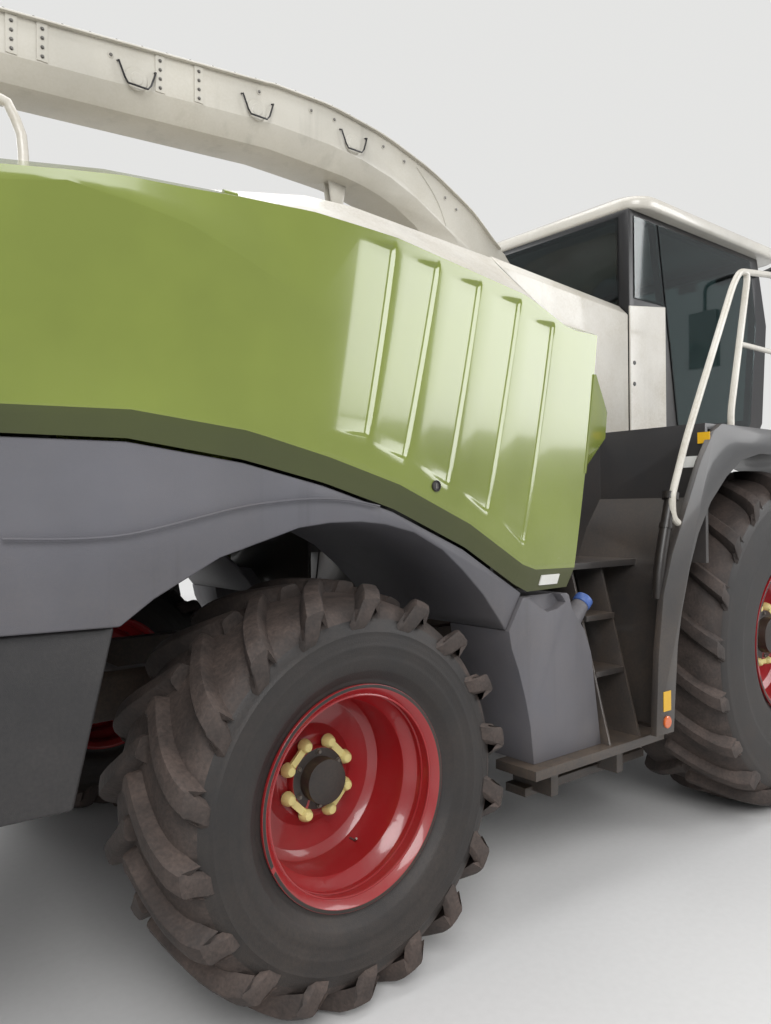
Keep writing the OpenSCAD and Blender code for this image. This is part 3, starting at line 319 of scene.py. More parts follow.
def carry(ob, body, *nodes, materials, smooth=35):
    """Gives a finished piece its materials and shading, its body and the nodes that it stands for."""
    for name in materials:
        ob.data.materials.append(MATERIALS[name])
    ob.data.shade_smooth()
    ob.data.set_sharp_from_angle(angle=math.radians(smooth))
    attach(ob, body)
    if nodes:
        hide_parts(*nodes)
    return ob


def finished(bm, name, body, materials, *nodes, smooth=35):
    """Ends a piece that was built from nothing and puts it on its body."""
    bmesh.ops.recalc_face_normals(bm, faces=bm.faces)
    return carry(built(bm, name), body, *nodes, materials=materials, smooth=smooth)


def soften(node, materials, width, pick=None, cut=None):
    """A copy of a rigid node with its edges rounded, less what is cut from it, in the node's place."""
    bm = bmesh.new()
    bm.from_mesh(frame["nodes"][node].data)
    bmesh.ops.remove_doubles(bm, verts=bm.verts, dist=2e-5)
    bmesh.ops.dissolve_limit(bm, angle_limit=math.radians(0.4), verts=bm.verts, edges=bm.edges)
    ob = built(bm, node + "_finished")
    if cut:
        recess = ob.modifiers.new("recess", "BOOLEAN")
        recess.object = cut
        recess.solver = "EXACT"
        settle(ob)
        bpy.data.objects.remove(cut)
    edges = ob.modifiers.new("edges", "BEVEL")
    edges.width = width
    edges.segments = 2
    edges.limit_method = "ANGLE"
    edges.angle_limit = math.radians(30)
    settle(ob)
    ob.data.materials.clear()
    carry(ob, BODY_OF[node], node, materials=materials, smooth=40)
    if pick:
        for face in ob.data.polygons:
            face.material_index = pick(face.center)


def circle(steps):
    """Points of the unit circle."""
    turns = [2 * math.pi * k / steps for k in range(steps)]
    return [(math.cos(turn), math.sin(turn)) for turn in turns]


def join_rings(bm, rings, slot=0):
    """Walls from ring to ring, closed at both ends, in one of the piece's material slots."""
    count = len(rings[0])
    for a, b in zip(rings, rings[1:]):
        for k in range(count):
            j = (k + 1) % count
            bm.faces.new((a[k], a[j], b[j], b[k])).material_index = slot
    bm.faces.new(rings[0][::-1]).material_index = slot
    bm.faces.new(rings[-1]).material_index = slot


def add_block(bm, corners, slot):
    """A block of eight corners in the order of BOX_FACES."""
    corners = [bm.verts.new(p) for p in corners]
    for face in BOX_FACES:
        bm.faces.new([corners[i] for i in face]).material_index = slot


def add_box(bm, middle, half, slot=0, turn=Matrix.Identity(3)):
    """A box from its middle and half sizes, turned about its middle."""
    reach = [Vector([s * h for s, h in zip(signs, half)]) for signs in product((-1, 1), repeat=3)]
    add_block(bm, [Vector(middle) + turn @ p for p in reach], slot)


def add_turned(bm, profile, centre, axis, steps, slot=0):
    """A solid of revolution: (out, radius) pairs from one end to the other about an axis."""
    turn = Vector(axis).to_track_quat("Z", "Y").to_matrix()
    rings = []
    for out, radius in profile:
        ring = [Vector((radius * c, radius * s, out)) for c, s in circle(steps)]
        rings.append([bm.verts.new(Vector(centre) + turn @ p) for p in ring])
    join_rings(bm, rings, slot)


def add_wire(bm, path, radius, steps, slot):
    """A round wire along the points of a path."""
    points = [Vector(p) for p in path]
    rings = []
    normal = None
    for i, p in enumerate(points):
        ahead = (points[min(i + 1, len(points) - 1)] - points[max(i - 1, 0)]).normalized()
        if normal is None:
            normal = ahead.orthogonal().normalized()
        normal = (normal - ahead * normal.dot(ahead)).normalized()
        other = ahead.cross(normal)
        rings.append([bm.verts.new(p + radius * (c * normal + s * other)) for c, s in circle(steps)])
    join_rings(bm, rings, slot)


def geometry_tree(name, inputs):
    """An empty geometry tree that gives a shape, with named inputs of the given kinds."""
    tree = bpy.data.node_groups.new(name, "GeometryNodeTree")
    for key, kind in inputs.items():
        tree.interface.new_socket(key, in_out="INPUT", socket_type="NodeSocket" + kind)
    tree.interface.new_socket("Geometry", in_out="OUTPUT", socket_type="NodeSocketGeometry")
    n = Nodes(tree)
    return n, n.add("NodeGroupInput").outputs


def run_tree(ob, tree, values):
    """Leaves on an object the plain mesh that a geometry tree makes with these inputs."""
    modifier = ob.modifiers.new("tree", "NODES")
    modifier.node_group = tree
    for item in tree.interface.items_tree:
        if item.in_out == "INPUT" and item.name in values:
            modifier[item.identifier] = values[item.name]
    settle(ob)


def parts_tree():
    """Geometry nodes that put a part at each point of a mesh, turned as the point's turn says."""
    n, given = geometry_tree(PARTS_TREE, {"Points": "Geometry", "Part": "Object", "Material": "Material"})
    part = n.add("GeometryNodeObjectInfo", {"Object": given["Part"]}).outputs["Geometry"]
    turn = n.add("GeometryNodeInputNamedAttribute", {"Name": "turn"}, data_type="QUATERNION").outputs[0]
    parts = n.add("GeometryNodeInstanceOnPoints", {
        "Points": given["Points"], "Instance": part, "Rotation": turn})
    n.end_shape(parts.outputs[0], given["Material"])
    return n.tree


def add_parts(bm, profile, spots, steps, finish_name, slot):
    """One turned part at many spots, each a (place, axis), in a finish and its slot on the piece."""
    one = bmesh.new()
    add_turned(one, profile, (0, 0, 0), (0, 0, 1), steps)
    part = built(one, "part")
    points = mesh_object("points", mesh_from("points", [place for place, _ in spots], []))
    turns = points.data.attributes.new("turn", "QUATERNION", "POINT")
    for turn, (_, axis) in zip(turns.data, spots):
        turn.value = Vector(axis).to_track_quat("Z", "Y")
    tree = bpy.data.node_groups.get(PARTS_TREE) or parts_tree()
    run_tree(points, tree, {"Part": part, "Material": MATERIALS[finish_name]})
    points.data.attributes.remove(points.data.attributes["turn"])
    first = len(bm.faces)
    bm.from_mesh(points.data)
    for face in list(bm.faces)[first:]:
        face.material_index = slot
    bpy.data.objects.remove(points)
    bpy.data.objects.remove(part)


def add_bolts(bm, spots, radius, high, slot):
    """Bolt heads of steel, each a washer and a chamfered hexagon."""
    seat = high * 0.25
    head = [(seat, radius), (high * 0.85, radius), (high, radius * 0.85)]
    add_parts(bm, [(0, radius * 1.35), (seat, radius * 1.35)], spots, 16, "steel", slot)
    add_parts(bm, head, spots, 6, "steel", slot)


def along(table, x, column=1):
    """A table's column read at a place between its rows."""
    if x <= table[0][0]:
        return table[0][column]
    for a, b in zip(table, table[1:]):
        if x <= b[0]:
            return a[column] + (b[column] - a[column]) * (x - a[0]) / (b[0] - a[0])
    return table[-1][column]


def spline(knots, i, t):
    """A point of the smooth curve through the knots, between knot i and the next."""
    last = len(knots) - 1
    p0, p1, p2, p3 = (Vector(knots[max(0, min(last, i + k))]) for k in (-1, 0, 1, 2))
    squared = 2 * p0 - 5 * p1 + 4 * p2 - p3
    cubed = 3 * p1 - p0 - 3 * p2 + p3
    return 0.5 * (2 * p1 + (p2 - p0) * t + squared * t * t + cubed * t ** 3)


def smooth_curve(knots, steps):
    """Points of the smooth curve through the knots, so many from each knot to the next."""
    points = [spline(knots, i, j / steps) for i in range(len(knots) - 1) for j in range(steps)]
    return points + [Vector(knots[-1])]


# Camera and stage

CAMERA_PLACE = (-2.47, -3.62, 1.695)
CAMERA_RIGHT = Vector((0.77712, -0.6293, -0.008727))
CAMERA_UP = Vector((0.006782, -0.005492, 0.99996))
CAMERA_AHEAD = Vector((0.62932, 0.77715, 0.0))
# Each lamp's place, what it points at, its size and its power in watts.
LAMPS = (
    ("key", (-4.5, -7.5, 6.5), (0.0, -1.0, 1.6), 5.0, 620.0),
    ("fill", (6.5, -6.5, 4.5), (0.8, -1.0, 1.5), 4.0, 260.0),
    ("overhead", (0.0, 0.0, 9.0), (0.0, 0.0, 0.0), 7.0, 420.0),
    ("back", (-3.0, 8.0, 6.0), (0.0, 0.0, 1.6), 5.0, 300.0))
FLOOR_HALF = 40
FADE_START = 5.5
FADE_END = 13.0


class HARVESTER_OT_stage(bpy.types.Operator):
    """Makes the camera, the lamps, the world and the pale floor"""
    bl_idname = "harvester.stage"
    bl_label = "Stage"

    def execute(self, context):
        scene = context.scene
        self.camera(scene)
        self.lamps(scene)
        self.world(scene)
        self.floor()
        scene.view_settings.view_transform = "Standard"
        return {"FINISHED"}

    def camera(self, scene):
        camera = bpy.data.cameras.new("camera")
        camera.lens = scene.harvester_stage.lens
        camera.sensor_width = 36.0
        camera.sensor_fit = "AUTO"
        camera.clip_end = 200.0
        turn = Matrix((CAMERA_RIGHT, CAMERA_UP, -CAMERA_AHEAD)).transposed().to_4x4()
        eye = bpy.data.objects.new("camera", camera)
        eye.matrix_world = Matrix.Translation(CAMERA_PLACE) @ turn
        scene.collection.objects.link(eye)
        scene.camera = eye

    def lamps(self, scene):
        for name, place, aim, size, watts in LAMPS:
            data = bpy.data.lights.new(name, "AREA")
            data.size = size
            data.energy = watts * scene.harvester_stage.light
            lamp = bpy.data.objects.new(name, data)
            lamp.location = place
            lamp.rotation_euler = (Vector(aim) - Vector(place)).to_track_quat("-Z", "Y").to_euler()
            scene.collection.objects.link(lamp)

    def world(self, scene):
        world = bpy.data.worlds.new("studio")
        scene.world = world
        world.use_nodes = True
        world.node_tree.nodes.clear()
        n = Nodes(world.node_tree)
        path = n.add("ShaderNodeLightPath").outputs
        seen = n.math("MAXIMUM", path["Is Camera Ray"], path["Is Transmission Ray"])
        glow = n.add("ShaderNodeBackground", {"Color": (0.80, 0.81, 0.83), "Strength": 0.62})
        shown = n.add("ShaderNodeBackground", {"Color": BACKDROP, "Strength": 1.0})
        blend = n.add("ShaderNodeMixShader", {0: seen, 1: glow.outputs[0], 2: shown.outputs[0]})
        n.end("ShaderNodeOutputWorld", blend.outputs[0])

    def floor(self):
        corners = [(x * FLOOR_HALF, y * FLOOR_HALF, 0) for x, y in ((-1, -1), (1, -1), (1, 1), (-1, 1))]
        floor = mesh_object("floor", mesh_from("floor", corners, [(0, 1, 2, 3)]))
        n = new_material("studio_floor")
        place = n.place()
        fine = n.remap(n.noise(place, 30.0, 4.0), 0.3, 0.7)
        base = n.mix(fine, (0.61, 0.605, 0.597), (0.63, 0.625, 0.617))
        shader = n.add("ShaderNodeBsdfPrincipled", {"Base Color": base, "Roughness": 0.8})
        # Far from the machine the floor fades into the backdrop, for the camera, gloss and glass.
        away = n.add("ShaderNodeVectorMath", {0: place}, operation="LENGTH").outputs["Value"]
        path = n.add("ShaderNodeLightPath").outputs
        seen = n.math("MAXIMUM", path["Is Glossy Ray"], path["Is Transmission Ray"])
        seen = n.math("MAXIMUM", path["Is Camera Ray"], seen)
        fade = n.math("MULTIPLY", seen, n.remap(away, FADE_START, FADE_END))
        pale = n.add("ShaderNodeEmission", {"Color": BACKDROP, "Strength": 1.0})
        blend = n.add("ShaderNodeMixShader", {0: fade, 1: shader.outputs[0], 2: pale.outputs[0]})
        n.end("ShaderNodeOutputMaterial", blend.outputs[0])
        floor.data.materials.append(MATERIALS["studio_floor"])


# Tyres

BAR_HEIGHT = 0.046
BAR_WIDTH = 0.062
BAR_LEAN = 0.36
TYRE_STEPS = 120
# How far below the carcass's top the tread's dusty finish reaches.
TREAD_REACH = 0.075


def tyre_half(wheel):
    """Half of a tyre's outer section from the crown to the bead, as (radius, side) pairs."""
    rim, bead = wheel.rim_radius, wheel.rim_width / 2
    body, side = wheel.radius - BAR_HEIGHT, wheel.width / 2
    belly = rim + (body - rim) * 0.45
    return [
        (body, 0.0), (body - 0.003, wheel.width * 0.15), (body - 0.008, side - 0.14),
        (body - 0.018, side - 0.09), (body - 0.036, side - 0.052), (body - 0.062, side - 0.028),
        (body - 0.094, side - 0.013), ((body - 0.09 + belly) / 2, side - 0.0055), (belly, side - 0.004),
        (belly - 0.03, side - 0.008), (rim + 0.058, side - 0.018), (rim + 0.040, side - 0.030),
        (rim + 0.028, bead + 0.010), (rim + 0.016, bead + 0.002), (rim + 0.004, bead)]


def tyre_section(wheel):
    """The carcass's closed section with its sidewall rings, as (radius, side) pairs."""
    rim, bead = wheel.rim_radius, wheel.rim_width / 2
    body, side = wheel.radius - BAR_HEIGHT, wheel.width / 2
    ridges = ((rim + 0.075, 0.003), (rim + 0.088, 0.003), (rim + 0.135, 0.0022), (body - 0.115, 0.003))
    half = []
    for p in smooth_curve(tyre_half(wheel), 3):
        bulge = sum(size * math.exp(-((p.x - at) / 0.004) ** 2) for at, size in ridges)
        half.append((p.x, p.y + bulge))
    wall = []
    for a, b in zip(half, half[1:]):
        steps = max(1, round(math.dist(a, b) / 0.006)) if a[1] > side - 0.05 else 1
        wall += [tuple(p + (q - p) * t / steps for p, q in zip(a, b)) for t in range(steps)]
    wall.append(half[-1])
    inner = [(rim - 0.022, bead - 0.004), (rim - 0.022, bead - 0.05), (rim + 0.03, side - 0.06),
             (body - 0.12, side - 0.045), (body - 0.035, side - 0.15)]
    outside = [(x, -y) for x, y in reversed(wall)] + wall[1:]
    return outside + inner + [(x, -y) for x, y in reversed(inner)]


def revolve(profile, steps):
    """Points and faces of a closed profile of (radius, side) pairs turned about the Y axis."""
    points, faces = [], []
    count = len(profile)
    for k, (up, ahead) in enumerate(circle(steps)):
        points += [Vector((r * ahead, y, r * up)) for r, y in profile]
        a, b = k * count, (k + 1) % steps * count
        for i in range(count):
            j = (i + 1) % count
            faces.append((a + i, b + i, b + j, a + j))
    return points, faces


def bar_row(shift, section):
    """Points across a tread bar, from its half section of (reach, height, side) from the edge inwards."""
    points = []
    for reach, height, side in [(-x, z, y) for x, z, y in section] + section[-2::-1]:
        turn = math.atan2(shift + reach, height)
        points.append(Vector((height * math.sin(turn), side, height * math.cos(turn))))
    return points


def bar_mesh(wheel):
    """One tread bar at the top of the tyre, from past the middle over the shoulder."""
    crown, body = wheel.radius, wheel.radius - BAR_HEIGHT
    shoulder = wheel.width / 2 + 0.004
    lean = -wheel.width * BAR_LEAN
    rows = []
    for t in (-0.07, 0.0, 0.12, 0.25, 0.4, 0.55, 0.68, 0.78, 0.86, 0.92, 0.965, 1.0):
        y = shoulder * t
        if t > 0.83:
            top = crown - 0.016 - 0.03 * ((t - 0.83) / 0.17) ** 1.5
        else:
            top = crown - 0.003 * min(1, max(0, t / 0.6)) - 0.013 * max(0, (t - 0.6) / 0.23)
        deep = body - 0.02 - 0.05 * max(0.0, (t - 0.6) / 0.4) ** 1.5
        half = BAR_WIDTH / 2 * (1.0 + 0.3 * max(0, t - 0.2))
        rows.append(bar_row(lean * (1.25 * max(0, t) - 0.25 * t * t), [
            (half + 0.020, deep, y), (half + 0.004, top - 0.010, y), (half - 0.004, top - 0.002, y),
            (0.0, top, y)]))
    # The bar's end runs down the sidewall in three more rows.
    for drop, out in ((0.030, 0.001), (0.075, -0.001), (0.098, -0.014)):
        y, top = shoulder + out, crown - 0.050 - drop
        half = BAR_WIDTH / 2 * (1.24 - drop)
        rows.append(bar_row(lean * (1 + drop * 0.9), [
            (half + 0.012, top, y - 0.018), (half, top, y - 0.005), (half - 0.006, top, y), (0.0, top, y)]))
    count = len(rows[0])
    last = (len(rows) - 1) * count
    faces = [tuple(range(count - 1, -1, -1)), tuple(range(last, last + count))]
    for k in range(len(rows) - 1):
        for a in range(k * count, (k + 1) * count - 1):
            faces.append((a, a + 1, a + count + 1, a + count))
    return mesh_from("tread_bar", [p for row in rows for p in row], faces)


def tread_ring():
    """Geometry nodes that repeat a bar round the wheel's axle on both halves."""
    n, given = geometry_tree("Tread ring", {
        "Bar": "Geometry", "Bars on each half": "Int", "Material": "Material"})
    count = given["Bars on each half"]
    pitch = n.math("DIVIDE", 2 * math.pi, count)
    join = n.add("GeometryNodeJoinGeometry")
    for half in (0, 1):
        points = n.add("GeometryNodePoints", {"Count": count})
        # The second half's bars stand between those of the first.
        number = n.math("ADD", n.add("GeometryNodeInputIndex").outputs[0], 0.5 * half)
        turn = n.add("ShaderNodeCombineXYZ", {"Y": n.math("MULTIPLY", number, pitch)})
        turn = n.add("FunctionNodeEulerToRotation", {0: turn.outputs[0]})
        bar = given["Bar"]
        if half:
            mirror = n.add("GeometryNodeTransform", {0: bar, "Scale": (1, -1, 1)})
            bar = n.add("GeometryNodeFlipFaces", {0: mirror.outputs[0]}).outputs[0]
        bars = n.add("GeometryNodeInstanceOnPoints", {
            "Points": points.outputs[0], "Instance": bar, "Rotation": turn.outputs[0]})
        n.put(bars.outputs[0], join.inputs[0])
    n.end_shape(join.outputs[0], given["Material"])
    return n.tree


class HARVESTER_OT_tyres(bpy.types.Operator):
    """Makes the four lugged tyres"""
    bl_idname = "harvester.tyres"
    bl_label = "Tyres"

    def execute(self, context):
        tree = tread_ring()
        for wheel in WHEELS:
            bars = mesh_object("tread_bars_" + wheel.end, bar_mesh(wheel))
            values = {"Bars on each half": wheel.bars, "Material": MATERIALS["tyre_tread"]}
            run_tree(bars, tree, values)
            points, faces = revolve(tyre_section(wheel), TYRE_STEPS)
            for side, label in SIDES:
                self.tyre(wheel, side, wheel.end + "_" + label, bars.data, points, faces)
            bpy.data.objects.remove(bars)
        return {"FINISHED"}

    def tyre(self, wheel, side, name, bars, points, faces):
        """The tread bars and the carcass in the wheel's place, mirrored for the right side."""
        centre = Vector((wheel.x, side * wheel.y, wheel.radius))
        tread = wheel.radius - BAR_HEIGHT - TREAD_REACH
        bm = bmesh.new()
        bm.from_mesh(bars)
        for corner in bm.verts:
            corner.co = Vector((corner.co.x, corner.co.y * side, corner.co.z)) + centre
        for face in bm.faces:
            face.material_index = 1
        skin = [bm.verts.new(Vector((p.x, p.y * side, p.z)) + centre) for p in points]
        for corners in faces:
            face = bm.faces.new([skin[i] for i in corners])
            middle = face.calc_center_median() - centre
            face.material_index = 1 if math.hypot(middle.x, middle.z) > tread else 0
        finished(bm, "tyre_%s_finished" % name, "wheel_" + name, ("tyre_side", "tyre_tread"),
                 "tyre_" + name, smooth=32)


# Bodywork

# Nodes whose edges are rounded, each with its finish and how wide the rounding is.
ROUNDED = (
    ("rear_fenders", "grey_plastic", 0.010), ("rear_boxes", "box_plastic", 0.012),
    ("side_tanks", "grey_plastic", 0.018), ("engine_hood", "pale_paint", 0.012),
    ("mid_cover", "pale_paint", 0.010), ("rear_wall", "grey_plastic", 0.006),
    ("platforms", "dark_paint", 0.006), ("ladders", "dark_paint", 0.004), ("cab_shell", "black_trim", 0.008),
    ("cab_door", "black_trim", 0.005), ("cab_roof", "pale_paint", 0.020),
    ("counterweight", "dark_paint", 0.012), ("frame", "black_paint", 0.004),
    ("drum_housing", "dark_paint", 0.006), ("front_axle", "black_paint", 0.006),
    ("rear_axle", "black_paint", 0.006), ("engine", "steel", 0.010), ("feed_housing", "dark_paint", 0.005),
    ("spout_base", "spout_paint", 0.004), ("spout_boom", "spout_paint", 0.006),
    ("spout_flap", "spout_paint", 0.002), ("work_lamps", "lens_white", 0.006),
    ("tail_lamps", "lens_red", 0.006), ("steering_column", "black_trim", 0.010),
    ("tank_cap", "blue_plastic", 0.005))
# Nodes that keep their own shape and only take a finish.
PAINTED = (
    ("handrails", "pale_paint"), ("mirrors", "black_trim"), ("spout_barrel", "steel"),
    ("spout_rod", "chrome"), ("feed_barrels", "steel"), ("feed_rods", "chrome"),
    ("feed_roll_upper", "steel"), ("feed_roll_lower", "steel"), ("knuckle_left", "black_paint"),
    ("knuckle_right", "black_paint"), ("cab_glass", "cab_glass"), ("door_glass", "cab_glass"))
# The grip in a tank's wall: its outline as x and z, and the sides between which it is cut.
GRIP = ((0.047, 1.334), (0.110, 1.290), (0.161, 1.267), (0.225, 1.275), (0.282, 1.299), (0.262, 1.322),
        (0.242, 1.340), (0.140, 1.345))
GRIP_SIDES = (1.410, 1.470)


class HARVESTER_OT_bodywork(bpy.types.Operator):
    """Rounds the edges of the rigid nodes and gives them their finishes"""
    bl_idname = "harvester.bodywork"
    bl_label = "Bodywork"

    def execute(self, context):
        for node, material, width in ROUNDED:
            soften(node, [material], width, cut=self.grips() if node == "side_tanks" else None)
        for node, material in PAINTED:
            ob = frame["nodes"][node]
            ob.data.materials.clear()
            ob.data.materials.append(MATERIALS[material])
        return {"FINISHED"}

    def grips(self):
        """What is cut from the tanks' outer walls for their grips."""
        bm = bmesh.new()
        for side, _ in SIDES:
            join_rings(bm, [[bm.verts.new((x, side * y, z)) for x, z in GRIP] for y in GRIP_SIDES])
        bmesh.ops.recalc_face_normals(bm, faces=bm.faces)
        return built(bm, "grips")


# Side panels

# Rows along a panel: x from the rear axle, and the heights of its top edge, its crease and its low edge.
PANEL_ROWS = (
    (-1.93, 2.520, 1.960, 1.890), (-1.12, 2.585, 1.975, 1.905), (-0.79, 2.645, 1.985, 1.908),
    (-0.42, 2.675, 1.947, 1.860), (-0.12, 2.675, 1.877, 1.793), (0.18, 2.665, 1.791, 1.704),
    (0.53, 2.620, 1.645, 1.556), (0.87, 2.575, 1.453, 1.360), (1.145, 2.475, 1.449, 1.364))
TOP, CREASE, LOW = 1, 2, 3
# Each louvre's step: top x and z, foot x and z, and the foot's rise to the rear, with x from the rear axle.
LOUVRES = (
    (0.160, 2.640, 0.030, 1.970, 0.010), (0.370, 2.615, 0.200, 1.900, 0.040),
    (0.590, 2.585, 0.410, 1.810, 0.060), (0.820, 2.555, 0.620, 1.710, 0.070),
    (1.030, 2.490, 0.830, 1.580, 0.090))
LOUVRE_WIDTH = 0.150
LOUVRE_STEP = 0.018
LOUVRE_END = 0.022
# The shoulder crease from the rear: x from the rear axle, height, and how far the top edge lies inside it.
SHOULDER = (
    (-1.91, 2.440, 0.020), (-1.119, 2.540, 0.022), (-0.957, 2.577, 0.024), (-0.779, 2.564, 0.036),
    (-0.610, 2.538, 0.042), (-0.430, 2.474, 0.036), (-0.300, 2.420, 0.020), (-0.180, 2.380, 0.0),
    (1.5, 2.30, 0.0))
HEIGHT, INSET = 1, 2
# Columns of the panel's grid: the plain rear part, each louvre and the front part.
PLAIN_COLUMNS = (-1.91, -1.7, -1.5, -1.3, -1.12, -1.04, -0.957, -0.87, -0.79, -0.7, -0.61, -0.52, -0.43,
                 -0.36, -0.28, -0.22, -0.17)
LOUVRE_COLUMNS = (-0.150, -0.125, -0.100, -0.075, -0.050, -0.028, -0.012, -0.004, 0.0, 0.004, 0.008, 0.012,
                  0.016, 0.020)
FRONT_COLUMNS = (0.25, 0.5, 0.75, 0.94, 1.0)
# The panel's face and its low edge lie this far out, and its hinge runs here.
FACE_Y = 1.480
LOW_Y = 1.448
HINGE_Y = 1.283
HINGE_Z = 2.745
RIDGE_Z = 2.675
CROWN = 0.0072
EDGE_LEAN = 0.195
PANEL_WALL = 0.020
# The return behind the front edge: where each row starts along it, and where its far side lies in x and z.
RETURN_ROWS = ((0.0, 1.318, 2.296), (0.35, 1.438, 2.140), (0.7, 1.421, 2.024), (1.0, 1.240, 1.858))
RETURN_TOP = 2.296
RETURN_LOW = 1.858


def smooth_step(t):
    t = min(1.0, max(0.0, t))
    return t * t * (3 - 2 * t)


def front_edge(z):
    """Where the panel's leaning front edge stands at a height."""
    x, top, _, low = PANEL_ROWS[-1]
    return x + EDGE_LEAN * (z - low) / (top - low)


class PanelColumn:
    """One column of a side panel's pressed face: on the plain part, on a louvre or in front of the last."""

    def __init__(self, deep, place, louvre=None, front=False):
        self.deep = deep
        self.place = place
        self.louvre = louvre
        self.front = front

    def x_at(self, z):
        if self.louvre is None:
            return self.place
        top_x, top_z, foot_x, foot_z, _ = self.louvre
        step = top_x + (foot_x - top_x) * (top_z - z) / (top_z - foot_z)
        if self.front:
            start = step + LOUVRE_COLUMNS[-1]
            return start + (front_edge(z) - start) * self.place
        return step + self.place

    def meets(self, line):
        """The height at which the column meets the top edge, the crease or the low edge."""
        z = 2.2
        for _ in range(6):
            z = along(PANEL_ROWS, self.x_at(z), line)
        return z

    def knots(self):
        """Heights between which the column's points are spread."""
        top, crease, low = (self.meets(line) for line in (TOP, CREASE, LOW))
        if self.louvre is None:
            shoulder = along(SHOULDER, self.place, HEIGHT)
            return top, shoulder, shoulder - 0.012, crease + 0.06, crease + 0.03, crease, low
        _, high, _, foot, rise = self.louvre
        if self.place < 0 and not self.front:
            foot += rise * min(1.0, -self.place / LOUVRE_WIDTH)
        high = min(high, top - LOUVRE_END)
        return top, high, high - LOUVRE_END, foot, foot - LOUVRE_END, crease, low

    def depth(self, z, high, foot):
        """How deep the louvre is pressed here: it deepens to the front and ends in a step."""
        if self.louvre is None or self.front:
            return 0.0
        if self.place <= 0:
            across = (self.place + LOUVRE_WIDTH) / LOUVRE_WIDTH
        else:
            across = 1 - smooth_step(self.place / LOUVRE_STEP)
        ends = smooth_step((high - z) / LOUVRE_END) * smooth_step((z - foot + LOUVRE_END) / LOUVRE_END)
        return self.deep * across * ends

    def point(self, z, knots):
        top, high, _, foot, _, crease, low = knots
        x = self.x_at(z)
        if z < crease:
            return Vector((x, LOW_Y + (FACE_Y - LOW_Y) * (z - low) / (crease - low), z))
        t = (top - z) / (top - crease)
        y = FACE_Y + CROWN * 4 * t * (1 - t) - self.depth(z, high, foot)
        shoulder = along(SHOULDER, x, HEIGHT)
        if z > shoulder:
            y -= along(SHOULDER, x, INSET) * (z - shoulder) / (top - shoulder)
        return Vector((x, y, z))

    def points(self):
        """The column from the hinge over the top edge to the low edge."""
        knots = self.knots()
        top = knots[0]
        edge = self.point(top, knots)
        inner = Vector((edge.x, HINGE_Y, HINGE_Z - (RIDGE_Z - top) * 0.9))
        points = [inner.lerp(edge, t) for t in (0.0, 0.5, 0.92)]
        for a, b, steps in zip(knots, knots[1:], (2, 3, 16, 4, 4, 3)):
            points += [self.point(a + (b - a) * k / steps, knots) for k in range(steps)]
        return points + [self.point(knots[-1], knots)]


class HARVESTER_OT_side_panels(bpy.types.Operator):
    """Makes the two lifting side panels with their pressed louvres"""
    bl_idname = "harvester.side_panels"
    bl_label = "Side panels"

    def execute(self, context):
        deep = context.scene.harvester_shape.louvre_depth
        columns = [PanelColumn(deep, place) for place in PLAIN_COLUMNS]
        columns += [PanelColumn(deep, place, louvre) for louvre in LOUVRES for place in LOUVRE_COLUMNS]
        columns += [PanelColumn(deep, place, LOUVRES[-1], front=True) for place in FRONT_COLUMNS]
        columns = [column.points() for column in columns]
        for side, label in SIDES:
            self.skin(columns, side, "side_panel_" + label)
            self.trim(side, "side_panel_" + label)
        return {"FINISHED"}

    def sheet(self, bm, columns, side, painted_shade_rows=0):
        """Faces over columns of points, where the lowest rows take the darkened green of painted shade."""
        grid = [[bm.verts.new((x + AXLE_X, side * y, z)) for x, y, z in column] for column in columns]
        rows = len(grid[0]) - 1
        for a, b in zip(grid, grid[1:]):
            for i in range(rows):
                face = bm.faces.new((a[i], b[i], b[i + 1], a[i + 1]))
                face.material_index = 1 if i >= rows - painted_shade_rows else 0

    def skin(self, columns, side, node):
        """The pressed sheet with the return behind its front edge."""
        bm = bmesh.new()
        # The three rows under the crease, on the low band that leans in, take the green with painted shade.
        self.sheet(bm, columns, side, painted_shade_rows=3)
        behind = []
        for t, far_x, far_z in RETURN_ROWS:
            z = RETURN_TOP + (RETURN_LOW - RETURN_TOP) * t
            behind.append([(front_edge(z) - 0.012, FACE_Y - 0.010, z),
                           (front_edge(z) + 0.004, FACE_Y - 0.012, z), (far_x, FACE_Y - 0.045, far_z)])
        self.sheet(bm, behind, side)
        if side < 0:
            bmesh.ops.reverse_faces(bm, faces=bm.faces)
        ob = built(bm, node + "_finished")
        wall = ob.modifiers.new("wall", "SOLIDIFY")
        wall.thickness = PANEL_WALL
        settle(ob)
        # The second finish is the panel green darkened as painted shade for the low band.
        carry(ob, BODY_OF[node], node, materials=("green_paint", "green_paint_painted_shade"), smooth=28)

    def trim(self, side, node):
        """The lock, the blank plate on the low front corner and the hinge's knuckles."""
        bm = bmesh.new()
        out = Vector((0, side, 0))
        lock = Vector((0.351 + AXLE_X, side * (FACE_Y + 0.001), 1.789))
        plate = Vector((1.008 + AXLE_X, side * 1.4665, 1.405))
        plate_turn = Matrix.Rotation(-side * math.radians(20), 3, "X")
        add_turned(bm, [(0, 0.021), (0.006, 0.021), (0.008, 0.017), (0.004, 0.015)], lock, out, 28, 0)
        add_box(bm, lock + out * 0.003, (0.003, 0.002, 0.009), 1)
        add_box(bm, plate, (0.058, 0.0025, 0.022), 2, plate_turn)
        for x in (-0.40, -0.19):
            knuckle = (x + AXLE_X, side * HINGE_Y, HINGE_Z)
            add_turned(bm, [(0, 0.011), (0.05, 0.011)], knuckle, (1, 0, 0), 16, 3)
        finished(bm, node + "_trim", BODY_OF[node], ("black_trim", "steel", "label_white", "green_paint"))


# Wheel trim

STUD_COLLAR = ((0.014, 0.024), (0.020, 0.024), (0.024, 0.018))
NUT_CAP = ((0.022, 0.027), (0.030, 0.026), (0.046, 0.021), (0.054, 0.015), (0.056, 0.006))
RING_STEPS = 96
VALVE_WAY = Vector((0.5, 0, -0.866))


